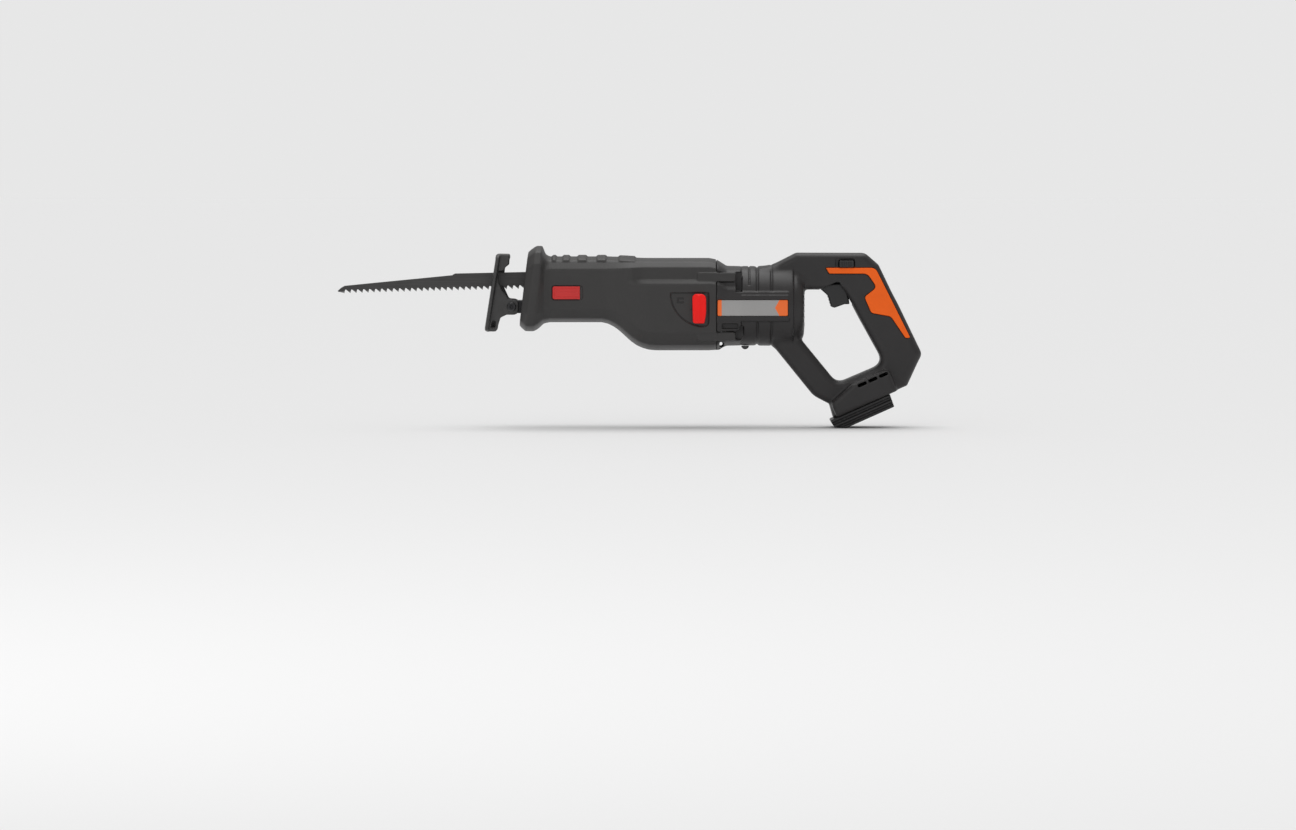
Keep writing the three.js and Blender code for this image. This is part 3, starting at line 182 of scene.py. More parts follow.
def surface(name, colour, rough, metal=0.0, *, pit=0.6, depth=0.05, mottle=0.25, mottle_size=30.0,
            worn=None, worn_metal=0.0, reach=0.03, dust=0.1, specular=0.5, coat=0.0, painted=None):
    """A finish: its colour varies slowly, its edges are rubbed to worn, and dust lies on its top.
    painted(tree, colour output) may lay a pattern over the colour before the wear."""
    material = bpy.data.materials.new(name)
    material.use_nodes = True
    tree = material.node_tree
    shader = tree.nodes["Principled BSDF"]
    grain = joined(tree, "ShaderNodeGroup", {"node_tree": GRAIN}, Pit_Size=pit, Mottle_Size=mottle_size)
    slow = grain.outputs["Mottle"]
    level = joined(tree, "ShaderNodeMapRange", n0=slow, n1=0.3, n2=0.7, n3=1.0 - mottle, n4=1.0 + mottle)
    scaled = joined(tree, "ShaderNodeVectorMath", {"operation": "SCALE"}, n0=colour, n3=level.outputs[0])
    base = scaled.outputs[0]
    if painted:
        base = painted(tree, base)
    rough_low, rough_high = rough - 0.05, rough + 0.05
    rough_level = joined(tree, "ShaderNodeMapRange", n0=slow, n1=0.3, n2=0.7, n3=rough_low, n4=rough_high)
    rough_out = rough_level.outputs[0]
    if worn:
        edges = joined(tree, "ShaderNodeGroup", {"node_tree": WEAR}, Reach=reach).outputs["Mask"]
        base = colour_mix(tree, edges, base, worn)
        rough_mix = joined(tree, "ShaderNodeMapRange", n0=edges, n3=rough_out, n4=rough * 0.75)
        rough_out = rough_mix.outputs[0]
        if worn_metal:
            bare = joined(tree, "ShaderNodeMapRange", n0=edges, n3=metal, n4=worn_metal)
            tree.links.new(bare.outputs[0], shader.inputs["Metallic"])
    if dust:
        settled = joined(tree, "ShaderNodeGroup", {"node_tree": DUST}, Amount=dust).outputs["Mask"]
        base = colour_mix(tree, settled, base, DUST_COLOUR)
        dusty = joined(tree, "ShaderNodeMapRange", n0=settled, n3=rough_out, n4=0.9)
        rough_out = dusty.outputs[0]
    tree.links.new(base, shader.inputs["Base Color"])
    tree.links.new(rough_out, shader.inputs["Roughness"])
    if not worn_metal:
        shader.inputs["Metallic"].default_value = metal
    shader.inputs["Specular IOR Level"].default_value = specular
    shader.inputs["Coat Weight"].default_value = coat
    shader.inputs["Coat Roughness"].default_value = 0.2
    bump = joined(tree, "ShaderNodeBump", Height=grain.outputs["Height"], Strength=0.35, Distance=depth * MM)
    tree.links.new(bump.outputs[0], shader.inputs["Normal"])
    return material


def finished(material, *names):
    """Gives CAD nodes their material."""
    for name in names:
        nodes[name].data.materials.clear()
        nodes[name].data.materials.append(material)


cast_alloy = surface(
    "die_cast_alloy", (0.42, 0.43, 0.44), 0.5, 0.9, pit=1.4, depth=0.12, worn=(0.62, 0.63, 0.64)
)
finished(cast_alloy, "gear_case", "gear_case_cover")

# ------------------------------------------------------------------ gears, wobble drive and plunger
# The plunger runs in two sintered bronze bushes. Below it, the gear's shaft turns the wobble hub
# inside the wobble ring, whose finger drives the plunger. All are hardened steel, lightly oiled.
machined_steel = surface(
    "machined_steel", (0.5, 0.5, 0.51), 0.3, 1.0, pit=0.35, depth=0.03, mottle=0.12,
    worn=(0.7, 0.7, 0.7), dust=0.0,
)
sintered_bronze = surface("sintered_bronze", (0.4, 0.24, 0.09), 0.45, 0.9, pit=0.4, depth=0.05, dust=0.0)
finished(machined_steel, "gear_shaft", "drive_gear", "wobble_ring", "plunger")
finished(machined_steel, "gear_shaft_front_bearing", "gear_shaft_rear_bearing")
finished(sintered_bronze, "front_plunger_bush", "rear_plunger_bush")
# This dark rubber also makes the painted shade cord in the groove round the lever's recess.
seal_rubber_and_painted_shade = surface("seal_rubber_and_painted_shade", (0.012, 0.012, 0.012), 0.55, pit=0.5, depth=0.02, dust=0.05)
finished(seal_rubber_and_painted_shade, "plunger_wiper_seal")

# ------------------------------------------------------------------ motor
# A brushless motor: a stack of thin steel laminations with six enamelled copper coils, a rotor of
# magnets on the pinion's shaft, a moulded fan behind it, and a bearing at each end.
LAMINATION = 0.5
WAVE_PER_MM = 314.0


def laminated(tree, base):
    """Dark lines between the sheets of the stack, across the motor's axis."""
    place = joined(tree, "ShaderNodeTexCoord").outputs["Object"]
    across = {"bands_direction": "X"}
    lines = joined(tree, "ShaderNodeTexWave", across, Vector=place, Scale=WAVE_PER_MM / LAMINATION)
    mask = joined(tree, "ShaderNodeMapRange", n0=lines.outputs["Fac"], n1=0.0, n2=0.4, n3=0.6, n4=0.0)
    return colour_mix(tree, mask.outputs[0], base, (0.05, 0.05, 0.055))


stacked_steel = surface("laminated_steel", (0.35, 0.36, 0.38), 0.4, 0.9, dust=0.0, painted=laminated)
finished(stacked_steel, "motor_stator")


def wound(tree, base):
    """The turns of the coils, as fine bright and dark rows."""
    place = joined(tree, "ShaderNodeTexCoord").outputs["Object"]
    slanting = {"bands_direction": "DIAGONAL"}
    rows = joined(tree, "ShaderNodeTexWave", slanting, Vector=place, Scale=330.0, Distortion=0.6)
    mask = joined(tree, "ShaderNodeMapRange", n0=rows.outputs["Fac"], n1=0.1, n2=0.6, n3=0.7, n4=0.0)
    return colour_mix(tree, mask.outputs[0], base, (0.12, 0.03, 0.01))


enamelled_copper = surface("enamelled_copper", (0.6, 0.22, 0.08), 0.3, 0.8, coat=0.4, dust=0.0, painted=wound)
finished(enamelled_copper, "motor_windings")
finished(machined_steel, "rotor_shaft", "motor_front_bearing", "motor_rear_bearing")
coated_magnet = surface("coated_magnet", (0.05, 0.05, 0.055), 0.35, 0.6, dust=0.0)
finished(coated_magnet, "rotor_magnets")
black_nylon = surface(
    "black_nylon", (0.011, 0.011, 0.012), 0.42, pit=0.7, depth=0.05,
    worn=(0.05, 0.05, 0.05), reach=0.02, dust=0.06,
)
finished(black_nylon, "cooling_fan")

# ------------------------------------------------------------------ blade clamp
# The clamp is turned from bar and screwed to the plunger's end. A pin crosses the hole in the
# blade's tang, and turning the fluted black collar lets the blade go.
blackened_steel = surface(
    "blackened_steel", (0.03, 0.03, 0.032), 0.35, 0.8, pit=0.4, depth=0.03,
    worn=(0.35, 0.35, 0.36), worn_metal=1.0, dust=0.05,
)
finished(blackened_steel, "clamp_body", "clamp_pin")
finished(black_nylon, "clamp_collar")

# ------------------------------------------------------------------ blade
# A wood-cutting blade, punched from spring steel, black coated all over, then ground along its
# raked teeth, which are set alternately to each side. Its tang sits in the clamp.
BLADE_THICK = 1.3
BLADE_TIP, BLADE_HEEL = -528.0, -331.0
TOOTH_PITCH, TOOTH_DEPTH, TOOTH_SET = 6.0, 3.6, 0.45
TOOTH_RISE, TIP_LOW = 0.0253, 124.6
GROUND_REACH = 2.2
STROKE_Z = 137.0
PIN_HOLE_X, PIN_HOLE_RADIUS = -316.5, 2.4


def tooth_line(x):
    """Height of the teeth's points at x."""
    return TIP_LOW + (x - BLADE_TIP) * TOOTH_RISE


def blade_outline():
    """Points round the blade as (x, z, set): how far that point is bent sideways, and which way."""
    points = [(-311.0, STROKE_Z - 6, 0), (-311.0, STROKE_Z + 6, 0), (-326.2, STROKE_Z + 6, 0)]
    points += [(-329.0, 146.4, 0), (-341.0, 146.0, 0), (-410.6, 144.5, 0), (-412.4, 143.6, 0)]
    points += [(-413.4, 142.8, 0), (-450.0, 139.2, 0), (-486.0, 135.7, 0), (-521.0, 132.2, 0)]
    points += [(-524.5, 130.2, 0), (-527.6, 127.4, 0), (-528.0, 126.6, 0)]
    count = int((BLADE_HEEL - BLADE_TIP - 3) / TOOTH_PITCH)
    for i in range(count):
        x = BLADE_TIP + 1.2 + i * TOOTH_PITCH
        low = tooth_line(x)
        lean = TOOTH_SET * (1 if i % 2 else -1)
        deep = TOOTH_DEPTH if i else 1.4
        points.append((x + 0.3, low + deep * 0.93, 0))
        points.append((x + 1.1, low + deep, 0))
        points.append((x + 2.2, low + deep * 0.78, 0))
        points.append((x + 4.9, low + 0.5, lean * 0.8))
        points.append((x + 5.5, low, lean))
    heel = tooth_line(BLADE_HEEL)
    points += [(BLADE_HEEL - 2.5, heel + 3.4, 0), (BLADE_HEEL, heel + 3.8, 0)]
    points += [(-327.5, 130.6, 0), (-326.2, STROKE_Z - 6, 0)]
    return points


def pinned_hole(x, z, radius, sides=20):
    """Points round the hole that the clamp's pin goes through."""
    angles = np.linspace(0, 2 * math.pi, sides, False)
    return [(x + radius * math.cos(a), z + radius * math.sin(a), 0) for a in angles]


def mesh_object(name, mesh, material, smooth=True):
    """A linked object of a mesh, with its material."""
    piece = bpy.data.objects.new(name, mesh)
    bpy.context.scene.collection.objects.link(piece)
    mesh.materials.append(material)
    if smooth:
        mesh.polygons.foreach_set("use_smooth", [True] * len(mesh.polygons))
    return piece


def bridged(work, near, far):
    """Joins two rings of corners by a band of faces."""
    for a, b, c, d in zip(near, near[1:] + near[:1], far[1:] + far[:1], far):
        work.faces.new((a, b, c, d))


def finished_mesh(work, name):
    """Turns a worked mesh's faces outwards and ends the work."""
    bmesh.ops.recalc_face_normals(work, faces=work.faces)
    mesh = bpy.data.meshes.new(name)
    work.to_mesh(mesh)
    work.free()
    return mesh


def punched_blade(material):
    """The blade's two faces, filled between its outline and its tang's hole, joined by their rims."""
    work = bmesh.new()
    rims = []
    for side in (-1, 1):
        face = side * BLADE_THICK / 2
        for loop in (blade_outline(), pinned_hole(PIN_HOLE_X, STROKE_Z, PIN_HOLE_RADIUS)):
            ring = [work.verts.new((x * MM, (face + lean) * MM, z * MM)) for x, z, lean in loop]
            edges = [work.edges.new((a, b)) for a, b in zip(ring, ring[1:] + ring[:1])]
            rims.append((ring, edges))
    for outer, hole in ((rims[0], rims[1]), (rims[2], rims[3])):
        bmesh.ops.triangle_fill(work, edges=outer[1] + hole[1], use_beauty=True)
    for near, far in ((rims[0][0], rims[2][0]), (rims[1][0], rims[3][0])):
        bridged(work, near, far)
    piece = mesh_object("saw_blade", finished_mesh(work, "saw_blade"), material, smooth=False)
    rounding = piece.modifiers.new("broken_edges", "BEVEL")
    rounding.width = 0.12 * MM
    rounding.segments = 1
    rounding.angle_limit = math.radians(50)
    return piece


def ground_teeth(tree, base):
    """Bare ground steel on the teeth, and long rolling streaks in the coating."""
    place = joined(tree, "ShaderNodeTexCoord").outputs["Object"]
    axes = joined(tree, "ShaderNodeSeparateXYZ", n0=place)
    along, up = axes.outputs[0], axes.outputs[2]
    line = joined(tree, "ShaderNodeMath", MULTIPLY_ADD, n0=along, n1=-TOOTH_RISE, n2=up).outputs[0]
    edge = (tooth_line(0.0) + GROUND_REACH) * MM
    ground = joined(tree, "ShaderNodeMapRange", n0=line, n1=edge, n2=edge - MM)
    stretch = joined(tree, "ShaderNodeVectorMath", MULTIPLY, n0=place, n1=(40.0, 900.0, 900.0))
    streaks = joined(tree, "ShaderNodeTexNoise", Vector=stretch.outputs[0], Scale=1.0, Detail=3.0)
    rolled = joined(tree, "ShaderNodeMapRange", n0=streaks.outputs[0], n1=0.35, n2=0.7, n3=0.0, n4=0.5)
    coated = colour_mix(tree, rolled.outputs[0], base, (0.075, 0.073, 0.072))
    return colour_mix(tree, ground.outputs[0], coated, (0.2, 0.2, 0.2))


coated_blade = surface(
    "coated_blade_steel", (0.045, 0.044, 0.044), 0.38, 0.35, pit=0.3, depth=0.02, mottle=0.15,
    worn=(0.3, 0.3, 0.3), worn_metal=0.9, reach=0.01, dust=0.03, painted=ground_teeth,
)
blade = punched_blade(coated_blade)
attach(blade, "blade_carriage")
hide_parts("blade")

# ------------------------------------------------------------------ shoe
# The shoe is one bent and welded piece of steel, powder coated: two cheeks, a face plate with a
# slot that the blade runs through, a roof and a heel. It tilts on a pin through the post's end.
SHOE_CHEEK = [
    [-380.2, 88, 4], [-369.5, 87.2, 4], [-365.5, 100.5, 5], [-359, 103.6, 3], [-347, 103.6, 6],
    [-347, 118.8, 7], [-357, 119.6, 3], [-363.2, 133, 9], [-361, 150, 2.5], [-356.8, 153.5, 2],
    [-356.4, 163.2, 2], [-368.4, 163.4, 4],
]
CHEEK_CUT = [
    [-357, 149, 2], [-367.4, 147, 2], [-367.2, 136, 6], [-363.5, 127.5, 6], [-357.5, 120, 2],
    [-350, 118, 2], [-350, 149, 2],
]
SHOE_PIVOT = (-354.0, 111.5)
CHEEK_IN, CHEEK_OUT = 13.0, 16.0
FACE_LEAN = math.radians(8.895)
FACE_FOOT = (-380.4, 88.0)
FACE_HALF, FACE_TALL, FACE_THICK, SLOT_HALF = 22.0, 75.5, 3.0, 7.0
LEFT_OF = -10.0


def filleted(outline, steps=8):
    """Points round an outline of corners [x, z, radius], each corner rounded by an arc."""
    points = []
    for i, (px, pz, radius) in enumerate(outline):
        here = np.array([px, pz], float)
        before = np.array(outline[i - 1][:2], float) - here
        after = np.array(outline[(i + 1) % len(outline)][:2], float) - here
        room = min(np.linalg.norm(before), np.linalg.norm(after)) * 0.48
        before /= np.linalg.norm(before)
        after /= np.linalg.norm(after)
        half = math.acos(max(-1.0, min(1.0, float(before @ after)))) / 2
        cut = min(radius / math.tan(half), room) if half < 1.55 else 0.0
        if cut < 0.05:
            points.append(here)
            continue
        for k in range(steps + 1):
            t = k / steps
            points.append(here + before * cut * (1 - t) ** 2 + after * cut * t**2)
    return [(float(x), float(z)) for x, z in points]


def from_outline(points, x, z):
    """Distance of each x, z from a closed outline, negative inside it."""
    nearest = np.full(np.broadcast_shapes(x.shape, z.shape), 1e9, np.float32)
    inside = np.zeros(nearest.shape, bool)
    for (ax, az), (bx, bz) in zip(points, points[1:] + points[:1]):
        ex, ez = bx - ax, bz - az
        t = np.clip(((x - ax) * ex + (z - az) * ez) / (ex * ex + ez * ez + 1e-12), 0, 1)
        nearest = np.minimum(nearest, (x - ax - ex * t) ** 2 + (z - az - ez * t) ** 2)
        if ez:
            inside ^= ((az > z) != (bz > z)) & (x < ax + (z - az) / ez * ex)
    return np.where(inside, -1, 1) * np.sqrt(nearest)


def slab(flat, across, half, rounding=0.0):
    """Distance from a plate with rounded rims. flat is the distance from its outline, and across is
    the distance from its middle."""
    a, b = flat + rounding, np.abs(across) - half + rounding
    return np.minimum(np.maximum(a, b), 0) + np.hypot(np.maximum(a, 0), np.maximum(b, 0)) - rounding


def box_field(x, y, z, low, high, rounding=0.0):
    """Distance from a box with rounded edges."""
    sides = []
    for value, a, b in ((x, low[0], high[0]), (y, low[1], high[1]), (z, low[2], high[2])):
        sides.append(np.abs(value - (a + b) / 2) - (b - a) / 2 + rounding)
    a, b, c = sides
    outside = np.sqrt(np.maximum(a, 0) ** 2 + np.maximum(b, 0) ** 2 + np.maximum(c, 0) ** 2)
    return np.minimum(np.maximum(np.maximum(a, b), c), 0) + outside - rounding


def rounded_rect(x, z, x0, x1, z0, z1, radius):
    """Distance from a rectangle with round corners."""
    a = np.abs(x - (x0 + x1) / 2) - (x1 - x0) / 2 + radius
    b = np.abs(z - (z0 + z1) / 2) - (z1 - z0) / 2 + radius
    return np.minimum(np.maximum(a, b), 0) + np.hypot(np.maximum(a, 0), np.maximum(b, 0)) - radius


def merged(a, b, soft=0.0):
    """Union of two fields, with a fillet of that size between them."""
    if not soft:
        return np.minimum(a, b)
    h = np.maximum(soft - np.abs(a - b), 0) / soft
    return np.minimum(a, b) - h * h * soft / 4


def kept(a, b, soft=0.0):
    """What lies in both fields, with its new edge rounded by that much."""
    return -merged(-a, -b, soft)


def cut(a, b, soft=0.0):
    """The first field less the second, with the cut's edge rounded by that much."""
    return kept(a, -b, soft)


def sampled(low, high, step):
    """Columns of x, y and z over a box, in millimetres."""
    x, y, z = (np.arange(a, b + step, step, dtype=np.float32) for a, b in zip(low, high))
    return x[:, None, None], y[None, :, None], z[None, None, :]


def skin(name, field, low, step, material):
    """A smooth mesh of the surface where a field is zero."""
    volume = openvdb.FloatGrid(background=3 * step)
    volume.copyFromArray(np.ascontiguousarray(np.clip(field, -3 * step, 3 * step), dtype=np.float32))
    points, quads = volume.convertToQuads(isovalue=0.0)
    mesh = bpy.data.meshes.new(name)
    mesh.vertices.add(len(points))
    mesh.vertices.foreach_set("co", ((points * step + np.array(low)) * MM).astype(np.float32).ravel())
    mesh.loops.add(len(quads) * 4)
    mesh.loops.foreach_set("vertex_index", quads[:, ::-1].astype(np.int32).ravel())
    mesh.polygons.add(len(quads))
    mesh.polygons.foreach_set("loop_start", np.arange(0, len(quads) * 4, 4, dtype=np.int32))
    mesh.update(calc_edges=True)
    return mesh_object(name, mesh, material)


def formed_shoe(material):
    low, step = (-394.0, -24.0, 84.0), 0.45
    x, y, z = sampled(low, (-343.0, 24.0, 167.5), step)
    flat = from_outline(filleted(SHOE_CHEEK), x, z)
    cheeks = slab(flat, np.abs(y) - (CHEEK_IN + CHEEK_OUT) / 2, (CHEEK_OUT - CHEEK_IN) / 2, 0.9)
    roof = box_field(x, y, z, (-368.4, -14.5, 159.8), (-356.6, 14.5, 163.4), 1.0)
    heel = box_field(x, y, z, (-378.5, -14.5, 87.7), (-369.3, 14.5, 90.8), 1.0)
    # Face plate, in its own leaning axes: u out of the plate, v up it.
    back, up = x - FACE_FOOT[0], z - FACE_FOOT[1]
    u = back * math.cos(FACE_LEAN) - up * math.sin(FACE_LEAN)
    v = back * math.sin(FACE_LEAN) + up * math.cos(FACE_LEAN)
    corners = [[-FACE_HALF, 0, 5], [FACE_HALF, 0, 5], [FACE_HALF, FACE_TALL, 5], [-FACE_HALF, FACE_TALL, 5]]
    rim = from_outline(filleted(corners), y, v)
    face = slab(rim, u - FACE_THICK / 2, FACE_THICK / 2, 1.0)
    body = merged(merged(cheeks, merged(roof, heel, 1.0), 3.0), face, 3.0)
    slot = [[-SLOT_HALF, 16, 6], [SLOT_HALF, 16, 6], [SLOT_HALF, 68, 6], [-SLOT_HALF, 68, 6]]
    body = cut(body, slab(from_outline(filleted(slot), y, v), u, 6.0), 1.0)
    bore = np.hypot(x - SHOE_PIVOT[0], z - SHOE_PIVOT[1]) - 3.25
    body = cut(body, bore, 0.5)
    # The left cheek has an oval hole in its heel and is cut away along its back edge.
    hole = rounded_rect(u, v, 5.0, 9.4, 3.4, 11.0, 2.1)
    body = cut(body, np.maximum(hole, y - LEFT_OF), 0.6)
    body = cut(body, np.maximum(from_outline(filleted(CHEEK_CUT), x, z), y - LEFT_OF), 0.6)
    return skin("shoe_plate", body, low, step, material)


powder_coat = surface(
    "powder_coated_steel", (0.05, 0.049, 0.049), 0.42, 0.25, pit=1.1, depth=0.06, mottle=0.2,
    mottle_size=12.0, worn=(0.22, 0.21, 0.2), worn_metal=0.8, reach=0.012, dust=0.08,
)
shoe = formed_shoe(powder_coat)
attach(shoe, "shoe_head")
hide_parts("shoe")

# ------------------------------------------------------------------ shoe pin and post
# A headed black steel pin joins the cheeks to the post, a notched channel of black steel that
# slides out of the gear case below the plunger.
PIN_R, PIN_HEAD_R, PIN_HEAD_AT = 2.95, 4.6, 16.3


def closed_tube(work, rings, name):
    """A mesh of bands between rings, closed by a face at each end."""
    for near, far in zip(rings, rings[1:]):
        bridged(work, near, far)
    work.faces.new(rings[0][::-1])
    work.faces.new(rings[-1])
    return finished_mesh(work, name)


def turned(name, profile, axis, at, material, sides=48):
    """A turned piece. profile is [(distance along the axis, radius)], and the axis is x, y or z."""
    work = bmesh.new()
    rings = []
    for along, radius in profile:
        ring = []
        for a in np.linspace(0, 2 * math.pi, sides, False):
            c, s = radius * math.cos(a), radius * math.sin(a)
            spot = {"x": (along, c, s), "y": (s, along, c), "z": (c, s, along)}[axis]
            ring.append(work.verts.new([(p + q) * MM for p, q in zip(spot, at)]))
        rings.append(ring)
    piece = mesh_object(name, closed_tube(work, rings, name), material)
    piece.data.set_sharp_from_angle(angle=math.radians(32))
    return piece


head = [(PIN_HEAD_AT, PIN_HEAD_R - 0.4), (PIN_HEAD_AT + 0.4, PIN_HEAD_R), (PIN_HEAD_AT + 1.4, PIN_HEAD_R)]
head += [(PIN_HEAD_AT + 2.1, PIN_HEAD_R - 0.8), (PIN_HEAD_AT + 2.1, 1.6), (PIN_HEAD_AT + 1.5, 1.2)]
far_head = [(-y, r) for y, r in reversed(head)]
shank = [(-PIN_HEAD_AT, PIN_R), (PIN_HEAD_AT, PIN_R)]
pin_middle = (SHOE_PIVOT[0], 0, SHOE_PIVOT[1])
pin = turned("shoe_pin", far_head + shank + head, "y", pin_middle, blackened_steel)
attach(pin, "shoe_slide")
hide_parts("shoe_pivot_pin")


def post_channel(material):
    low, step = (-362.5, -14.0, 103.0), 0.5
    x, y, z = sampled(low, (-260.0, 14.0, 120.0), step)
    corners = [[-360.4, 105.1, 6], [-262.1, 105.1, 1], [-262.1, 117.9, 1], [-360.4, 117.9, 6]]
    body = slab(from_outline(filleted(corners), x, z), y, 11.9, 1.2)
    body = cut(body, box_field(x, y, z, (-340, -9, 100), (-255, 9, 115), 1.0), 0.5)
    body = cut(body, np.hypot(x - SHOE_PIVOT[0], z - SHOE_PIVOT[1]) - 3.1, 0.3)
    for front in (-283, -276, -269):
        body = cut(body, box_field(x, y, z, (front, -5, 113), (front + 3, 5, 121), 0.6), 0.3)
    for front in (-336, -327, -318, -309, -300):
        notch = box_field(x, np.abs(y), z, (front, 11.4, 109), (front + 1.4, 14, 114), 0.3)
        body = cut(body, notch, 0.2)
    return skin("shoe_post_channel", body, low, step, material)


post = post_channel(blackened_steel)
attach(post, "shoe_slide")
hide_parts("shoe_post")

# ------------------------------------------------------------------ rubber boot
# A black rubber boot, moulded with a fine texture, covers the whole gear case. It has a thick
# flange round the nose, anti-slip ribs on top, a recess for the lever, and four tabs over the housing.
BOOT_WALL = 2.2
# Each row: place along the saw, top, bottom, half width at the top, upper half width, shoulder,
# ledge, lower half width, belly, half width at the bottom, and lean, which shears the section.
BOOT_ROWS = [
    (-341.7, 165.6, 93.0, 16, 31.6, 148.6, 129.5, 31.6, 110.0, 16, 0.12),
    (-340.2, 167.6, 91.2, 17, 33.7, 149.0, 129.5, 33.7, 109.4, 17, 0.12),
    (-335.0, 171.9, 87.2, 17, 37.8, 154.0, 129.5, 37.8, 105.0, 17, 0.13),
    (-327.4, 172.0, 87.0, 17, 38.0, 154.0, 129.5, 38.0, 105.0, 17, 0.12),
    (-321.0, 163.4, 94.8, 16, 31.6, 147.0, 129.5, 31.6, 110.0, 16, 0.03),
    (-316.0, 161.5, 96.0, 13, 30.6, 149.0, 129.5, 30.6, 110.0, 14, 0.0),
    (-306.0, 161.5, 96.0, 13, 31.0, 149.0, 129.5, 31.0, 110.0, 14, 0.0),
    (-264.0, 161.5, 96.0, 13, 31.0, 149.0, 129.5, 31.0, 110.0, 14, 0.0),
    (-258.0, 161.5, 94.6, 13, 31.2, 149.1, 130.1, 31.2, 109.0, 14.0, 0.0),
    (-252.0, 161.3, 91.6, 13, 31.9, 149.2, 131.0, 31.9, 107.0, 14.1, 0.0),
    (-247.5, 161.2, 88.4, 13, 32.7, 149.5, 132.5, 32.7, 104.4, 14.2, 0.0),
    (-243.0, 161.0, 84.4, 13, 33.6, 149.8, 134.5, 33.6, 101.2, 14.3, 0.0),
    (-238.5, 160.8, 80.2, 13, 34.5, 150.1, 136.0, 34.6, 97.8, 14.5, 0.0),
    (-234.0, 160.5, 76.3, 13, 34.8, 150.4, 136.0, 35.6, 94.4, 14.7, 0.0),
    (-229.0, 160.3, 72.9, 13, 33.6, 150.7, 136.0, 36.4, 91.3, 14.8, 0.0),
    (-224.0, 160.1, 70.6, 13, 32.6, 150.9, 136.0, 37.0, 88.8, 14.9, 0.0),
    (-217.5, 160.0, 68.7, 13, 32.5, 151.0, 136.0, 37.4, 87.3, 15, 0.0),
    (-210.0, 160.0, 68.0, 13, 32.5, 151.0, 136.0, 37.5, 87.0, 15, 0.0),
    (-157.0, 160.0, 68.0, 13, 32.5, 151.0, 136.0, 37.5, 87.0, 15, 0.0),
    (-150.0, 158.6, 68.7, 13, 32.4, 149.8, 135.4, 37.4, 87.4, 15, 0.0),
]
BARREL_RIBS = [(-313.5, -309.5), (-303, -296), (-288, -279), (-269, -259.5), (-247, -230.5)]
MOUTH = [[-22, 102.5, 8], [22, 102.5, 8], [22, 155.5, 12], [-22, 155.5, 12]]
LEVER_PIVOT = (-167.5, 118.0)
SECTOR = (-162.5, 125.8, 33.0)
RECESS_DEEP, GROOVE_DEEP, BADGE_POCKET = 1.3, 1.5, 0.9
SHEAR_FROM = 129.5
# Each tab: its two ends, its lower and upper edge, and its inner and outer face.
TABS = [(-169.0, -131.0, 137.0, 146.0, 30.9, 34.0), (-169.0, -131.0, 78.4, 86.9, 30.6, 35.4)]
BADGE = (-298.2, 125.9, 30.0, 13.4)
TAIL = [[-160, 68.4, 1], [-147, 68.4, 3], [-141.1, 72.3, 2], [-141.1, 78, 2], [-160, 78, 1]]
TAIL_EYE = (-145.4, 74.4, 1.9)


def blurred(flat, millimetres, step):
    """Smooths an array over x and z by a Gaussian of that size."""
    reach = int(3 * millimetres / step) + 1
    weights = np.exp(-0.5 * (np.arange(-reach, reach + 1) * step / millimetres) ** 2)
    weights /= weights.sum()
    for axis in (0, 2):
        wide = np.concatenate(
            [np.take(flat, [0] * reach, axis), flat, np.take(flat, [-1] * reach, axis)], axis
        )
        flat = sum(w * np.take(wide, range(i, i + flat.shape[axis]), axis) for i, w in enumerate(weights))
    return flat


def swept_body(rows, x, y, z, step, soft=4.0, blur=0.75):
    """Distance from a body whose cross section follows rows from front to back."""
    table = np.array(rows, float)
    sheared = x
    for _ in range(2):
        sheared = x - np.interp(sheared, table[:, 0], table[:, 10]) * (z - SHEAR_FROM)
    top, bottom, top_half, upper, shoulder, ledge, lower, belly, bottom_half = (
        np.interp(sheared, table[:, 0], table[:, i]) for i in range(1, 10)
    )
    step_out = np.clip((lower - upper) / 2, 0, 1)
    knots = [
        (bottom, bottom_half),
        (bottom + (belly - bottom) * 0.32, bottom_half + (lower - bottom_half) * 0.66),
        (belly, lower), (ledge - 1.5, lower), (ledge + 1.5 + 2.5 * step_out, upper), (shoulder, upper),
        (top - (top - shoulder) * 0.3, top_half + (upper - top_half) * 0.62), (top, top_half),
    ]
    width = bottom_half
    for (z0, w0), (z1, w1) in zip(knots, knots[1:]):
        width = width + (w1 - w0) * np.clip((z - z0) / (z1 - z0), 0, 1)
    width = blurred(width, blur, step)
    slope_x, slope_z = np.gradient(width[:, 0, :], step)
    steep = np.sqrt(1 + np.minimum(slope_x**2 + slope_z**2, 9))[:, None, :]
    sides = (np.abs(y) - width) / steep
    ends = np.maximum(table[0, 0] - sheared, sheared - table[-1, 0])
    around = kept(sides, kept(z - blurred(top, 0.8, step), blurred(bottom, 0.8, step) - z, 1.0), soft)
    return kept(around, ends, 0.8), width


def quarter_round(x, z):
    """Distance from the lever's quarter-round recess."""
    corner_x, corner_z, radius = SECTOR
    front = kept(np.hypot(x - corner_x, z - corner_z) - radius, x - corner_x)
    back = rounded_rect(x, z, corner_x - 8, corner_x + 4.5, corner_z - radius, corner_z + 20, 4.0)
    return kept(np.minimum(front, back), z - corner_z, 1.2)


def badge_outline(x, z, margin, radius):
    """Distance from the badge's outline, moved out by margin."""
    mid_x, mid_z, long, tall = BADGE
    half_long, half_tall = long / 2 + margin, tall / 2 + margin
    sides = (mid_x - half_long, mid_x + half_long, mid_z - half_tall, mid_z + half_tall)
    return rounded_rect(x, z, *sides, radius)


def lever_groove(x, z, half):
    """Distance from a line that runs just inside the recess's outline, half its width to each side."""
    return np.abs(quarter_round(x, z) + 0.3) - half


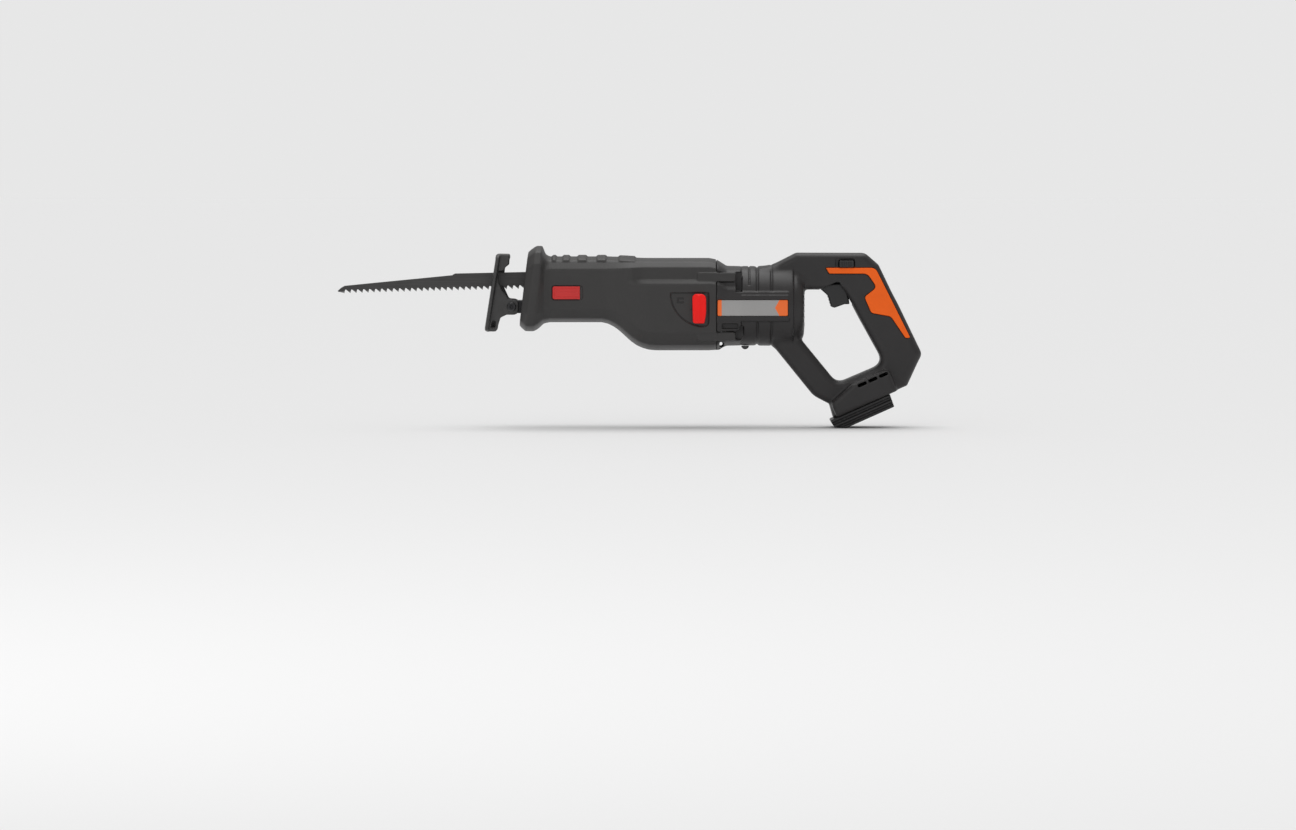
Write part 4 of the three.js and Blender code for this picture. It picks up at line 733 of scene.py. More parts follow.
def moulded_boot(material):
    step = 0.7
    low = (-346.0, -40.0, 65.0)
    x, y, z = sampled(low, (-128.0, 40.0, 175.0), step)
    solid, width = swept_body(BOOT_ROWS, x, y, z, step)
    ribs = np.minimum.reduce([np.abs(x - (a + b) / 2) - (b - a) / 2 for a, b in BARREL_RIBS])
    raised = np.clip(0.5 - ribs / 1.6, 0, 1) * np.clip((z - 156) / 4, 0, 1)
    solid = solid - 1.5 * raised
    for x0, x1, z0, z1, inner, outer in TABS:
        flat = rounded_rect(x, z, x0, x1, z0, z1, 2.2)
        solid = merged(solid, slab(flat, np.abs(y) - (inner + outer) / 2, (outer - inner) / 2, 1.1), 1.6)
    solid = merged(solid, slab(from_outline(filleted(TAIL), x, z), y, 7.0, 1.0), 1.0)
    hollow, _ = swept_body(BOOT_ROWS, x, y, z, step)
    hollow = merged(hollow + BOOT_WALL, kept(hollow + BOOT_WALL + 1.5, x + 148.0))
    solid = cut(solid, kept(hollow, -286.8 - x))
    solid = cut(solid, kept(from_outline(filleted(MOUTH), y, z), x + 286.0), 3.0)
    # The lever's recess has a narrow groove round it, and its floor lies a little below the rubber.
    # It and the badge's pocket are cut on the left side only.
    left_only = np.where(y < 0, -5.0, 5.0)
    depth = width + y
    floor = kept(np.maximum(quarter_round(x, z), left_only), depth - RECESS_DEEP)
    groove = kept(np.maximum(lever_groove(x, z, 0.8), left_only), depth - GROOVE_DEEP)
    solid = cut(cut(solid, floor, 0.5), groove, 0.3)
    shaft_hole = np.hypot(x - LEVER_PIVOT[0], z - LEVER_PIVOT[1]) - 3.8
    solid = cut(solid, np.maximum(shaft_hole, y + 30), 0.3)
    pocket = kept(np.maximum(badge_outline(x, z, 0.3, 2.3), left_only), depth - BADGE_POCKET)
    solid = cut(solid, pocket, 0.3)
    solid = cut(solid, np.hypot(x - TAIL_EYE[0], z - TAIL_EYE[1]) - TAIL_EYE[2], 0.3)
    return skin("moulded_boot", solid, low, step, material)


boot_rubber = surface(
    "boot_rubber", (0.031, 0.0295, 0.0292), 0.44, pit=0.75, depth=0.07, mottle=0.1, mottle_size=45.0,
    worn=(0.085, 0.082, 0.08), reach=0.02, dust=0.06, specular=0.45,
)
boot = moulded_boot(boot_rubber)
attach(boot, "tool_body")
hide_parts("rubber_boot")

# ------------------------------------------------------------------ lever recess: painted groove shade and marks
# A thin dark rubber cord at the bottom of the groove round the lever's recess is painted shade for
# the groove's shadow. Two small raised marks on the recess's floor show the lever's two places.
SHADE_CORD_AT, MARKS_AT = -35.75, -36.15


def groove_shade_and_marks(material):
    low, step = (-198.0, -38.5, 90.0), 0.3
    x, y, z = sampled(low, (-155.0, -33.0, 128.0), step)
    # The cord is painted shade: dark rubber set just proud of the groove's floor.
    shade_cord = slab(lever_groove(x, z, 0.62), y - SHADE_CORD_AT, 0.45, 0.3)
    narrow = rounded_rect(x, z, -189.5, -182.5, 115.5, 121.5, 0.8)
    narrow = np.maximum(narrow, -rounded_rect(x, z, -187.5, -181.0, 117.6, 119.4, 0.5))
    wide = np.hypot(x + 176.0, z - 113.5) - 4.0
    wide = np.maximum(np.abs(wide) - 0.7, np.maximum(-(x + 176.0), z - 113.5))
    marks = slab(np.minimum(narrow, wide), y - MARKS_AT, 0.25, 0.1)
    return skin("groove_shade_and_marks", np.minimum(shade_cord, marks), low, step, material)


groove_shade_and_mark_piece = groove_shade_and_marks(seal_rubber_and_painted_shade)
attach(groove_shade_and_mark_piece, "tool_body")

# ------------------------------------------------------------------ nose badge
# A red moulded badge is glued into a pocket on the boot's left side: a raised border round two
# plain bars. It carries no words.


def moulded_badge(material):
    low, step = (-314.0, -33.5, 116.5), 0.22
    x, y, z = sampled(low, (-286.0, -28.5, 132.5), step)
    flat = badge_outline(x, z, -0.3, 2.0)
    body = slab(flat, y + 30.9, 0.6, 0.3)
    border = slab(np.abs(flat + 0.9) - 0.7, y + 31.25, 0.75, 0.35)
    bar = BADGE[2] / 2 - 2.9
    upper = rounded_rect(x, z, BADGE[0] - bar, BADGE[0] + bar, BADGE[1] + 1.7, BADGE[1] + 3.5, 0.5)
    lower = rounded_rect(x, z, BADGE[0] - bar, BADGE[0] + bar, BADGE[1] - 3.6, BADGE[1] + 0.2, 0.6)
    bars = slab(np.minimum(upper, lower), y + 31.2, 0.6, 0.25)
    return skin("moulded_badge", merged(body, merged(border, bars), 0.3), low, step, material)


badge_plastic = surface(
    "red_badge_plastic", (0.64, 0.035, 0.034), 0.4, specular=0.3, pit=0.5, depth=0.02, mottle=0.06,
    worn=(0.7, 0.12, 0.1), reach=0.02, dust=0.04,
)
badge = moulded_badge(badge_plastic)
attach(badge, "tool_body")
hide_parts("nose_badge")

# ------------------------------------------------------------------ housing shells
# Two glass-filled nylon mouldings meet on the middle plane and hold the motor, the D-shaped handle
# and the battery foot. They are textured, hollow, and screwed together from the right side.
SHELL_WALL = 3.0
PARTING = 0.15
MOTOR_MID, MOTOR_HIGH, MOTOR_WIDE = 112.25, 39.7, 37.3
HANDLE_OUTER = [
    [-114, 98, 1], [-53, 22.8, 24], [-37, 14.5, 4], [-33, 0.3, 1.5], [40.6, 33, 2.5], [54.9, 64.3, 8],
    [11.8, 153.5, 9], [-1.5, 165, 9], [-70, 165.2, 7], [-104, 148, 1],
]
HANDLE_HOLE = [
    [-62.8, 128.6, 3.5], [-24, 128.6, 4], [-14, 113, 5], [18, 55.2, 12], [-29.1, 35, 12],
    [-65.5, 79.5, 4], [-63, 93, 3],
]
HANDLE_HALF, HANDLE_ROUND = 17.0, 7.0
FOOT_TILT = math.radians(24)
FOOT = [[-26.5, 13.7, 2], [39, 13.7, 2], [40, 37.5, 6], [0, 37.5, 10], [-26.5, 29, 6]]
FOOT_HALF = 31.0
ACCENT = [
    [-41, 150.5, 0.8], [-37.5, 144.7, 0.8], [0.5, 144.7, 8], [10, 131, 5], [-2.5, 121.5, 4], [4.5, 105.5, 4],
    [24, 102, 6], [38.5, 80.6, 1.2], [43.5, 80.6, 1.2], [8.5, 150.5, 8],
]
PLATE = (-149.0, -79.0, 103.0, 119.0)
TRIGGER_NOTCH = [
    [-47, 126, 1], [-30, 112, 1], [-12, 106.5, 1], [-19, 116, 3], [-22, 126, 6], [-28, 137.2, 3],
    [-45.5, 129.2, 3],
]
TRIGGER = [
    [-46.4, 129.4, 1], [-39, 123, 9], [-35.6, 111.6, 2], [-32, 110.4, 2], [-22, 114, 2], [-17, 114, 1],
    [-19.5, 135, 1.5], [-44, 135, 2],
]
LOCK = (-27.5, -13.0, 150.8, 157.6)
SCREWS = [(-136, 78.5), (-104, 78.5), (-66, 156), (-5, 156), (43, 64), (-74, 56), (-27, 12)]
# Each pocket: its two ends, its lower and upper edge, and its floor. The wall behind it is 1.5 thick.
SHELL_POCKETS = [
    (-130.8, -124.6, 126.5, 146.4, 24.0), (-130.8, -122.6, 79.5, 93.0, 25.0),
    (-144.5, -128.5, 90.2, 95.4, 32.5),
]
POCKET_WALL, MOTOR_ROOM = 1.5, 27.4
FRONT_ROWS = [
    (-149.7, 158.4, 68.8, 13, 32.3, 149.7, 135.3, 37.3, 87.4, 15, 0.0),
    (-148.0, 157.6, 69.2, 13, 32.3, 148.6, 134.6, 37.2, 88.0, 15, 0.0),
    (-139.5, 152.2, 72.5, 13, 32.3, 141.0, 129.5, 36.8, 92.0, 15, 0.0),
    (-118.0, 151.6, 73.0, 13, 32.3, 141.0, 129.5, 36.6, 92.0, 15, 0.0),
    (-100.0, 150.0, 75.0, 13, 32.0, 140.0, 129.5, 36.0, 92.0, 15, 0.0),
]


def ramp(value, start, end):
    """Rises smoothly from 0 at start to 1 at end."""
    t = np.clip((value - start) / (end - start), 0, 1)
    return t * t * (3 - 2 * t)


def motor_drum(x, y, z, step, inset=0.0):
    """Distance from the motor housing: boot-shaped in front, then a banded drum with a narrower cap."""
    front, _ = swept_body(FRONT_ROWS, x, y, z, step, soft=6.0, blur=1.4)
    crown = np.zeros_like(x)
    for x0, x1, high in ((-125.0, -110.2, 0.5), (-108.4, -95.8, 0.7), (-93.9, -73.6, 0.5)):
        t = np.clip((x - x0) / (x1 - x0), 0, 1)
        crown = np.maximum(crown, high * (1 - (2 * t - 1) ** 6))
    for at, wide in ((-109.3, 0.9), (-94.9, 0.9)):
        crown = crown - 1.1 * np.exp(-(((x - at) / wide) ** 2))
    cap = ramp(x, -73.8, -72.6)
    shrink = 1 - 0.09 * cap - 0.1 * ramp(x, -71, -62.5)
    high = (MOTOR_HIGH - 0.5) * shrink + crown
    wide = (MOTOR_WIDE - 0.5) * shrink + crown
    drum = (np.hypot(y / wide, (z - MOTOR_MID) / high) - 1) * 37.5
    short_groove = np.maximum(np.maximum(np.abs(x + 117.3) - 0.7, 133 - z), -drum - 0.9)
    drum = kept(drum, x + 63.2, 4.0)
    mix = ramp(x, -126.4, -124.2)
    body = (front + np.where(x > -101, 40, 0)) * (1 - mix) + drum * mix
    pad = box_field(x, np.abs(y), z, (-165, 20, 97.6), (-77.5, 37.8, 124.2), 2.0)
    ledge = box_field(x, np.abs(y), z, (-165, 20, 120.5), (-77.5, 36.2, 127.2), 2.2)
    body = merged(body, merged(pad, ledge, 1.0), 1.5)
    body = cut(body, short_groove, 0.3)
    front_face = -149.95 + inset - x
    return kept(body + inset, front_face, 0.3 if not inset else 0.0)


def handle_field(x, y, z, inset=0.0):
    """Distance from the D-shaped handle, whose upper front chamfer is a broad flat facet."""
    outer = from_outline(filleted(HANDLE_OUTER), x, z)
    outline = np.maximum(outer, -from_outline(filleted(HANDLE_HOLE), x, z))
    body = slab(outline, y, HANDLE_HALF, HANDLE_ROUND)
    grip = ramp(z, 52, 70) * ramp(z, 128, 112) * ramp(x, -20, -6)
    body = body - 0.5 * grip
    return body + inset


def foot_field(x, y, z, inset=0.0):
    """Distance from the battery foot, tilted with its rail."""
    u = x * math.cos(FOOT_TILT) + z * math.sin(FOOT_TILT)
    v = -x * math.sin(FOOT_TILT) + z * math.cos(FOOT_TILT)
    outline = from_outline(filleted(FOOT), u, v)
    return slab(outline, y, FOOT_HALF, 4.5) + inset, u, v


def on_side(piece, side):
    """Leaves a piece made for the right side there, or mirrors it to the left, where side is -1."""
    if side < 0:
        corners = np.empty(len(piece.data.vertices) * 3, np.float32)
        piece.data.vertices.foreach_get("co", corners)
        corners[1::3] *= -1
        piece.data.vertices.foreach_set("co", corners)
        piece.data.flip_normals()
    return piece


def housing_half(name, side, material):
    step = 0.7
    low = (-154.0, -1.0, -3.0)
    x, y, z = sampled(low, (60.0, 40.0, 168.0), step)
    handle = handle_field(x, y, z)
    foot, u, v = foot_field(x, y, z)
    motor = motor_drum(x, y, z, step)
    outside = merged(merged(motor, handle, 5.0), foot, 3.0)
    inner_foot, _, _ = foot_field(x, y, z, SHELL_WALL)
    inner_motor = kept(motor_drum(x, y, z, step, SHELL_WALL), x + 67.0)
    inside = merged(merged(inner_motor, handle + SHELL_WALL, 0.0), inner_foot, 0.0)
    inside = np.minimum(inside, np.where(x < -146, motor + SHELL_WALL, 99.0))
    shell = cut(outside, inside)
    for sx, sz in SCREWS:
        pillar = np.hypot(x - sx, z - sz) - 4.6
        shell = merged(shell, np.maximum(pillar, outside + 0.6))
    # Pockets behind the tabs, and the hook's notch below.
    for x0, x1, z0, z1, inner, outer in TABS:
        room = rounded_rect(x, z, x0, x1 + 7.4, z0 - 0.4, z1 + 0.4, 2.2)
        shell = cut(shell, kept(room, inner - 0.3 - y), 0.4)
    to_motor = MOTOR_ROOM - np.hypot(y, z - 112.5)
    for x0, x1, z0, z1, inner in SHELL_POCKETS:
        room = rounded_rect(x, z, x0, x1, z0, z1, 1.2)
        wall = np.maximum(np.maximum(room - 1.4, to_motor), inner - POCKET_WALL - y)
        shell = merged(shell, np.maximum(wall, outside))
        shell = cut(shell, np.maximum(np.maximum(room, to_motor + POCKET_WALL), inner - y), 0.4)
    shell = cut(shell, box_field(x, y, z, (-162, -8, 60), (-140.6, 7.4, 78.4), 1.5), 0.4)
    shell = cut(shell, rounded_rect(x, z, -146.8, -142.6, 71.8, 76.8, 1.0), 0.4)
    # Pockets for the inlay and the name plates.
    inlay = from_outline(filleted(ACCENT), x, z) - 0.35
    shell = cut(shell, kept(inlay, -(handle + 1.3)), 0.25)
    plate = rounded_rect(x, z, PLATE[0] - 0.3, PLATE[1] + 0.3, PLATE[2] - 0.3, PLATE[3] + 0.3, 1.3)
    shell = cut(shell, np.maximum(plate, 35.6 - y), 0.3)
    # Vents in the foot's shoulder and in the drum's rear face.
    for start in (5.0, 16.6, 28.2):
        vent = rounded_rect(u, v, start, start + 9.2, 32.2, 35.4, 1.2)
        shell = cut(shell, np.maximum(vent, 25.5 - y), 0.5)
    for height in (98, 104, 110, 116, 122):
        vent = box_field(x, y, z, (-76, 3, height - 1.5), (-50, 20, height + 1.5), 1.2)
        shell = cut(shell, np.maximum(vent, np.maximum(x + 55, 0)), 0.4)
    # Room for the trigger and the lock button.
    shell = cut(shell, from_outline(filleted(TRIGGER_NOTCH), x, z), 1.0)
    for shift in (0, 3, 6):
        moved = [[px + shift, pz, r] for px, pz, r in TRIGGER]
        shell = cut(shell, slab(from_outline(filleted(moved), x, z) - 0.7, y, 12.6))
    button = rounded_rect(x, z, LOCK[0] - 0.5, LOCK[1] + 0.5, LOCK[2] - 0.5, LOCK[3] + 0.5, 1.4)
    shell = cut(shell, button, 0.3)
    lip = rounded_rect(x, z, LOCK[0] - 3.5, LOCK[1] + 0.8, LOCK[2] - 0.8, LOCK[3] + 2.4, 1.8)
    shell = cut(shell, kept(lip, -(handle + 0.9)), 0.4)
    if side > 0:
        for sx, sz in SCREWS:
            shell = cut(shell, np.maximum(np.hypot(x - sx, z - sz) - 3.9, 11.8 - y), 0.5)
    # The parting face, with its edge broken so that the seam shows as a fine line.
    shell = kept(shell, PARTING - y, 0.5)
    return on_side(skin(name, shell, low, step, material), side)


housing_nylon = surface(
    "glass_filled_nylon", (0.0175, 0.016, 0.0166), 0.43, pit=0.6, depth=0.06, mottle=0.1, mottle_size=38.0,
    worn=(0.085, 0.08, 0.08), reach=0.02, dust=0.06, specular=0.45,
)
for side, word in ((-1, "left"), (1, "right")):
    half = housing_half(f"{word}_housing", side, housing_nylon)
    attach(half, "tool_body")
    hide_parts(f"{word}_housing_shell")

# ------------------------------------------------------------------ orange inlays
# An orange overmoulded strip stands slightly proud in each side of the handle, and spreads into a
# broad patch beside the grip. It has a soft matt finish.


def inlay(name, side, material):
    low, step = (-44.0, 0.0, 77.0), 0.45
    x, y, z = sampled(low, (50.0, 20.0, 153.5), step)
    flat = from_outline(filleted(ACCENT), x, z)
    face = handle_field(x, y, z)
    body = kept(kept(flat, face - 0.35, 0.8), -(face + 1.2), 0.0)
    return on_side(skin(name, body, low, step, material), side)


orange_soft = surface(
    "orange_overmould", (0.98, 0.138, 0.006), 0.5, specular=0.25, pit=0.5, depth=0.04, mottle=0.06,
    worn=(0.85, 0.3, 0.12), reach=0.015, dust=0.04,
)
for side, word in ((-1, "left"), (1, "right")):
    strip = inlay(f"{word}_inlay", side, orange_soft)
    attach(strip, "tool_body")
    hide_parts(f"{word}_accent_inlay")

# ------------------------------------------------------------------ name plates
# A thin printed plate is glued into a pocket on each side: grey in the middle, with an orange end
# shaped as an arrow at the back and a plain orange block at the front. It carries no words.
PLATE_OUT, PLATE_IN = 37.15, 36.0
PLATE_BACK_POINT, PLATE_FRONT_END = -91.8, -144.9
PRINTED_ORANGE = (0.98, 0.16, 0.008)


def printed_plate(name, side, material):
    low, step = (-151.0, 34.0, 101.0), 0.4
    x, y, z = sampled(low, (-77.0, 38.5, 121.0), step)
    flat = rounded_rect(x, z, *PLATE, 1.2)
    body = slab(flat, y - (PLATE_OUT + PLATE_IN) / 2, (PLATE_OUT - PLATE_IN) / 2, 0.4)
    return on_side(skin(name, body, low, step, material), side)


def printed_bands(tree, base):
    """Orange ends beside the grey middle. The back one starts with an arrow's point."""
    place = joined(tree, "ShaderNodeTexCoord").outputs["Object"]
    axes = joined(tree, "ShaderNodeSeparateXYZ", n0=place)
    along, high = axes.outputs[0], axes.outputs[2]
    middle = (PLATE[2] + PLATE[3]) / 2 * MM
    up = joined(tree, "ShaderNodeMath", {"operation": "SUBTRACT"}, n0=high, n1=middle)
    off = joined(tree, "ShaderNodeMath", {"operation": "ABSOLUTE"}, n0=up.outputs[0]).outputs[0]
    point = joined(tree, "ShaderNodeMath", MULTIPLY_ADD, n0=off, n1=-0.55, n2=along).outputs[0]
    back_to, front_to = PLATE_BACK_POINT * MM, PLATE_FRONT_END * MM
    back = joined(tree, "ShaderNodeMapRange", n0=point, n1=back_to - 0.2 * MM, n2=back_to)
    front = joined(tree, "ShaderNodeMapRange", n0=along, n1=front_to + 0.2 * MM, n2=front_to)
    either = {"operation": "MAXIMUM"}
    ends = joined(tree, "ShaderNodeMath", either, n0=back.outputs[0], n1=front.outputs[0])
    return colour_mix(tree, ends.outputs[0], base, PRINTED_ORANGE)


printed_label = surface(
    "printed_label", (0.36, 0.355, 0.35), 0.35, pit=0.3, depth=0.01, mottle=0.05,
    worn=(0.5, 0.5, 0.5), reach=0.02, dust=0.04, coat=0.3, painted=printed_bands,
)
for side, word in ((-1, "left"), (1, "right")):
    plate = printed_plate(f"{word}_plate", side, printed_label)
    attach(plate, "tool_body")
    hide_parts(f"{word}_label_plate")

# ------------------------------------------------------------------ housing screws
# Seven thread-forming screws of zinc-plated steel, with pan heads and six-lobed recesses, hold the
# shells together. Their heads sit in counterbores on the right side.
RECESS_FLOOR_Y = 12.6
plated_steel = surface(
    "zinc_plated_steel", (0.34, 0.34, 0.33), 0.36, 1.0, pit=0.7, depth=0.03, mottle=0.2,
    mottle_size=9.0, worn=(0.6, 0.6, 0.58), dust=0.05,
)


def recessed_screw(name, x, z, material):
    profile = [(-10.0, 0.6), (-8.6, 1.75), (11.7, 1.75), (12.0, 3.1)]
    profile += [(12.3, 3.3), (13.3, 3.3), (14.0, 2.9), (14.3, 2.1)]
    screw = turned(name, profile, "y", (x, 0, z), material, sides=36)
    work = bmesh.new()
    lobes = []
    for k in range(36):
        angle = k * math.pi / 18
        radius = 1.45 + 0.28 * math.cos(6 * angle)
        lobes.append((radius * math.sin(angle), radius * math.cos(angle)))
    rings = []
    for y in (RECESS_FLOOR_Y, 15.5):
        rings.append([work.verts.new(((x + a) * MM, y * MM, (z + b) * MM)) for a, b in lobes])
    tool = bpy.data.objects.new("recess", closed_tube(work, rings, "recess"))
    bpy.context.scene.collection.objects.link(tool)
    socket = screw.modifiers.new("recess", "BOOLEAN")
    socket.operation = "DIFFERENCE"
    socket.solver = "EXACT"
    socket.object = tool
    solved = bpy.data.meshes.new_from_object(screw.evaluated_get(bpy.context.evaluated_depsgraph_get()))
    screw.modifiers.clear()
    screw.data = solved
    bpy.data.objects.remove(tool)
    return screw


for i, (sx, sz) in enumerate(SCREWS, 1):
    screw = recessed_screw(f"recessed_screw_{i}", sx, sz, plated_steel)
    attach(screw, "tool_body")
    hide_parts(f"housing_screw_{i}")

# ------------------------------------------------------------------ battery rail
# The battery slides onto a black nylon rail block under the foot, which has two long grooves in
# each side. Four tinned copper blades stand in its slots. A circuit board lies above it.
RAIL = [[-22, 0, 1.5], [30, 0, 1], [31, 13.4, 1], [-34, 13.4, 1.5], [-33, 6, 4]]
RAIL_HALF = 23.0


def rail_block(material):
    low, step = (-39.0, -25.0, -11.0), 0.5
    x, y, z = sampled(low, (33.0, 25.0, 28.0), step)
    u = x * math.cos(FOOT_TILT) + z * math.sin(FOOT_TILT)
    v = -x * math.sin(FOOT_TILT) + z * math.cos(FOOT_TILT)
    body = slab(from_outline(filleted(RAIL), u, v), y, RAIL_HALF, 0.9)
    for v0, v1 in ((2.4, 5.1), (7.7, 10.4)):
        groove = box_field(u, np.abs(y), v, (-60, RAIL_HALF - 3.5, v0), (60, RAIL_HALF + 5, v1), 0.6)
        body = cut(body, groove, 0.5)
    for middle in (9.0, 15.0):
        slot = box_field(u, np.abs(y), v, (-16, middle - 1.6, -5), (40, middle + 1.6, 11.2), 0.4)
        body = cut(body, slot, 0.4)
    for middle in (-26.5, -23.5):
        notch = box_field(u, np.abs(y), v, (middle - 0.6, -1, -5), (middle + 0.6, 12, 3.4), 0.3)
        body = cut(body, notch, 0.3)
    return skin("rail_block", body, low, step, material)


rail_nylon = surface(
    "rail_nylon", (0.012, 0.012, 0.013), 0.4, pit=0.5, depth=0.03, mottle=0.12,
    worn=(0.06, 0.06, 0.06), reach=0.02, dust=0.08,
)
rail = rail_block(rail_nylon)
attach(rail, "tool_body")
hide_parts("battery_rail")
tinned_copper = surface(
    "tinned_copper", (0.62, 0.5, 0.36), 0.3, 1.0, pit=0.4, depth=0.02, worn=(0.7, 0.6, 0.5), dust=0.02
)
finished(tinned_copper, *(f"battery_contact_{i}" for i in range(1, 5)))


def etched(tree, base):
    """Copper tracks under the board's green lacquer."""
    place = joined(tree, "ShaderNodeTexCoord").outputs["Object"]
    square = {"distance": "MANHATTAN", "feature": "F1"}
    tracks = joined(tree, "ShaderNodeTexVoronoi", square, Vector=place, Scale=260.0)
    mask = joined(tree, "ShaderNodeMapRange", n0=tracks.outputs["Distance"], n1=0.5, n2=0.55)
    return colour_mix(tree, mask.outputs[0], base, (0.05, 0.22, 0.07))


green_board = surface("lacquered_board", (0.012, 0.085, 0.03), 0.3, coat=0.5, dust=0.0, painted=etched)
finished(green_board, "controller_board")
sleeved_leads = surface("sleeved_leads", (0.3, 0.012, 0.01), 0.45, pit=0.5, depth=0.03, dust=0.0)
finished(sleeved_leads, "battery_leads", "motor_leads")
finished(black_nylon, "tether_lug")

# ------------------------------------------------------------------ trigger, switch and lock button
# The black nylon trigger slides back against a coil spring and closes the switch behind it. A
# cross-bolt button above it, ridged at both ends, is pushed through to free it.


def trigger_moulding(material):
    low, step = (-50.0, -14.0, 107.0), 0.4
    x, y, z = sampled(low, (-14.0, 14.0, 142.5), step)
    flat = from_outline(filleted(TRIGGER), x, z)
    body = slab(flat, y, 11.9, 2.4)
    # The finger's hollow, and shallow grip lines across it.
    hollow = np.hypot(x + 47.6, z - 114.5) - 9.6
    body = cut(body, kept(hollow, np.abs(y) - 8.4), 1.5)
    for height in (113.5, 116.5, 119.5, 122.5):
        line = np.hypot(flat + 0.1, z - height) - 0.5
        body = cut(body, np.maximum(line, x + 30), 0.3)
    # A neck runs up into the handle, where it works the switch.
    body = merged(body, box_field(x, y, z, (-40, -8, 130), (-21, 8, 141), 1.0), 0.5)
    return skin("trigger_moulding", body, low, step, material)


trigger = trigger_moulding(black_nylon)
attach(trigger, "trigger_lever")
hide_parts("trigger")
finished(black_nylon, "trigger_switch")
SPRING_FIXED, SPRING_FREE, SPRING_Z = -9.4, -17.6, 126.0
COIL_RADIUS, WIRE_RADIUS, COIL_TURNS, COIL_RINGS = 3.0, 0.42, 5.5, 132


def coil_spring(material):
    work = bmesh.new()
    rings = []
    coil_length = SPRING_FIXED - SPRING_FREE - 2 * WIRE_RADIUS
    for k in range(COIL_RINGS + 1):
        t = k / COIL_RINGS
        turn = t * COIL_TURNS * 2 * math.pi
        outward = Vector((0, math.sin(turn), math.cos(turn)))
        middle = Vector((SPRING_FREE + WIRE_RADIUS + t * coil_length, 0, SPRING_Z))
        middle += outward * COIL_RADIUS
        ring = []
        for j in range(10):
            angle = j * math.pi / 5
            offset = outward * math.cos(angle) + Vector((math.sin(angle), 0, 0))
            ring.append(work.verts.new((middle + offset * WIRE_RADIUS) * MM))
        rings.append(ring)
    return mesh_object("coil_spring", closed_tube(work, rings, "coil_spring"), material)


spring = coil_spring(machined_steel)
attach(spring, "tool_body")
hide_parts("trigger_spring")
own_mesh(spring)


def ridged_button(material):
    low, step = (-30.5, -21.0, 148.0), 0.35
    x, y, z = sampled(low, (-10.5, 19.0, 160.5), step)
    flat = rounded_rect(x, z, *LOCK, 1.3)
    body = slab(flat, y + 1.0, 18.4, 0.7)
    body = np.minimum(body, slab(flat - 1.2, y, 10.0, 0.5))
    for k in range(5):
        at = LOCK[0] + 2.9 + k * 2.2
        body = cut(body, np.maximum(np.abs(x - at) - 0.45, 17.9 - np.abs(y + 1.0)), 0.3)
    return skin("ridged_button", body, low, step, material)


button = ridged_button(black_nylon)
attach(button, "lock_off")
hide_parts("lock_button")

# ------------------------------------------------------------------ mode lever
# A red moulded lever on the left side turns a shaft into the gear case. Its bar has a rounded top
# and a raised ridge along its middle for the thumb.
LEVER = [[-6, -22.3, 3], [5.5, -22.3, 2], [7.2, -12, 4], [7.2, 7, 6], [-6.6, 7, 5]]


def ridged_lever(material):
    low, step = (-176.0, -44.5, 94.0), 0.3
    x, y, z = sampled(low, (-159.0, -28.0, 127.0), step)
    pivot_x, pivot_z = LEVER_PIVOT
    corners = [[px + pivot_x, pz + pivot_z, radius] for px, pz, radius in LEVER]
    flat = from_outline(filleted(corners), x, z)
    domed = slab(flat, y + 39.5, 2.9, 1.6)
    ridge = slab(np.abs(x + 167.4) - 1.5, y + 41.0, 1.85, 1.2)
    ridge = np.maximum(ridge, flat + 2.2)
    body = merged(domed, ridge, 1.8)
    round_shaft = np.hypot(x - pivot_x, z - pivot_z) - 3.1
    shaft = np.maximum(round_shaft, np.maximum(y + 38, -28.6 - y))
    return skin("ridged_lever", merged(body, shaft, 0.5), low, step, material)


lever_plastic = surface(
    "red_lever_plastic", (0.98, 0.008, 0.006), 0.4, specular=0.25, pit=0.5, depth=0.02, mottle=0.06,
    worn=(0.85, 0.15, 0.12), reach=0.02, dust=0.04,
)
lever = ridged_lever(lever_plastic)
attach(lever, "mode_switch")
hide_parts("mode_lever")

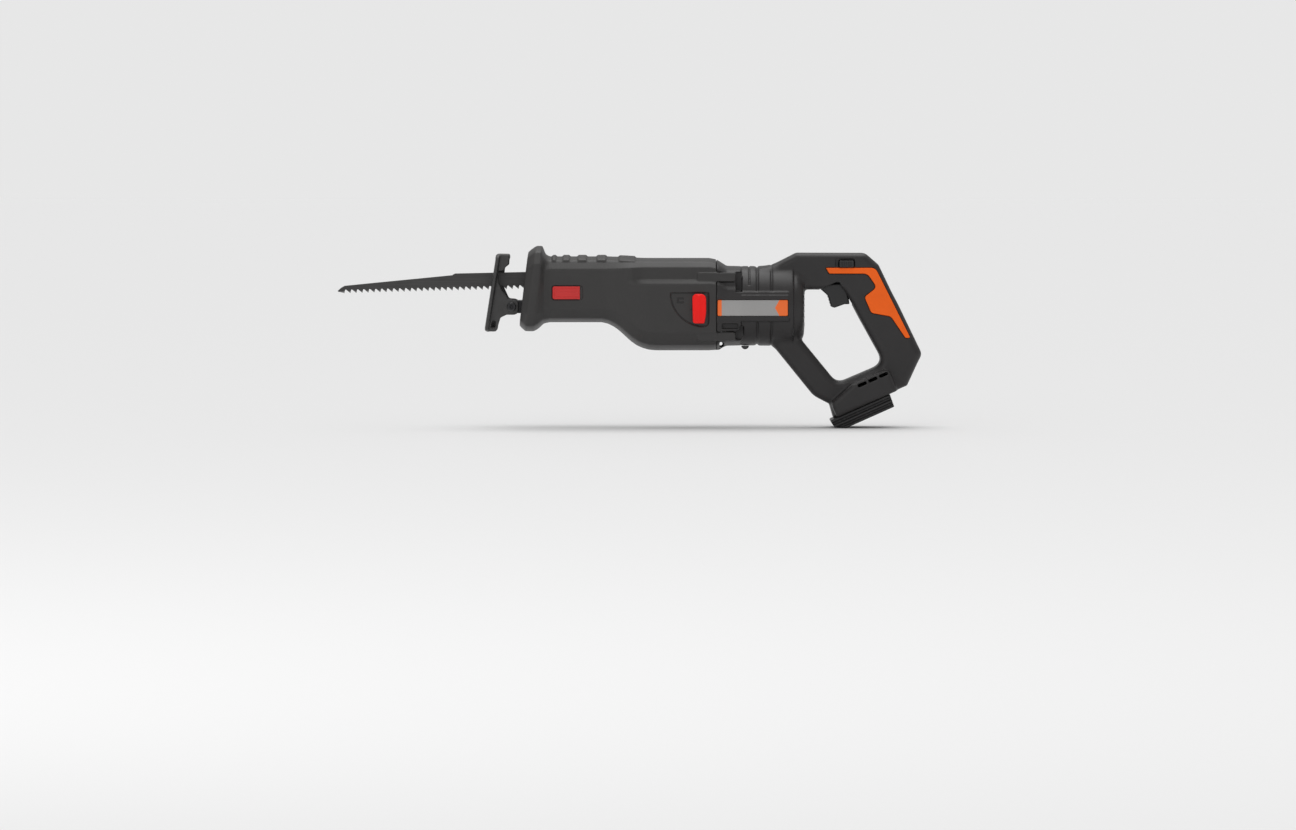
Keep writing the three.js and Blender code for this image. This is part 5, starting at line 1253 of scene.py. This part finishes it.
# ------------------------------------------------------------------ floor, lights and camera
# A plain pale floor lies under the saw. A broad overhead light throws soft shadows, a weak fill
# stands in front, and the camera looks almost squarely at the left side.
FLOOR_Z = -9.2
AIM = Vector((-0.218, 0.0, 0.003))
CAMERA_AWAY, CAMERA_RISE = 6, math.radians(2.5)
bpy.ops.mesh.primitive_plane_add(size=60, location=(0, 0, FLOOR_Z * MM))
floor = bpy.context.object
floor.name = "floor"
pale = bpy.data.materials.new("pale_floor")
pale.use_nodes = True
pale.node_tree.nodes["Principled BSDF"].inputs["Base Color"].default_value = (0.78, 0.78, 0.78, 1)
pale.node_tree.nodes["Principled BSDF"].inputs["Roughness"].default_value = 0.8
floor.data.materials.append(pale)


overhead = bpy.data.lights.new("overhead", "SUN")
overhead.energy = 1.7
overhead.angle = math.radians(60)
overhead_lamp = bpy.data.objects.new("overhead", overhead)
bpy.context.scene.collection.objects.link(overhead_lamp)
overhead_lamp.rotation_euler = (math.radians(-8), 0, 0)
fill = bpy.data.lights.new("front_fill", "AREA")
fill.shape = "RECTANGLE"
fill.size, fill.size_y = 1.6, 1.2
fill.energy = 8
fill_lamp = bpy.data.objects.new("front_fill", fill)
bpy.context.scene.collection.objects.link(fill_lamp)
fill_lamp.location = (-1.2, -3.2, 1.2)
towards_saw = Vector((-0.22, 0, 0.08)) - fill_lamp.location
fill_lamp.rotation_euler = towards_saw.to_track_quat("-Z", "Y").to_euler()
world = bpy.data.worlds.new("studio")
bpy.context.scene.world = world
world.use_nodes = True
backdrop = world.node_tree.nodes["Background"]
backdrop.inputs["Color"].default_value = (1, 1, 1, 1)
seen = joined(world.node_tree, "ShaderNodeLightPath").outputs["Is Camera Ray"]
level = joined(world.node_tree, "ShaderNodeMapRange", n0=seen, n3=0.5, n4=0.8)
world.node_tree.links.new(level.outputs[0], backdrop.inputs["Strength"])

lens = bpy.data.cameras.new("camera")
camera = bpy.data.objects.new("camera", lens)
bpy.context.scene.collection.objects.link(camera)
bpy.context.scene.camera = camera
outwards = Vector((0, -math.cos(CAMERA_RISE), math.sin(CAMERA_RISE)))
camera.location = AIM + CAMERA_AWAY * outwards
camera.rotation_euler = (AIM - camera.location).to_track_quat("-Z", "Y").to_euler()
lens.sensor_width = 36.0
lens.lens = 166.7
bpy.context.scene.view_settings.view_transform = "Standard"
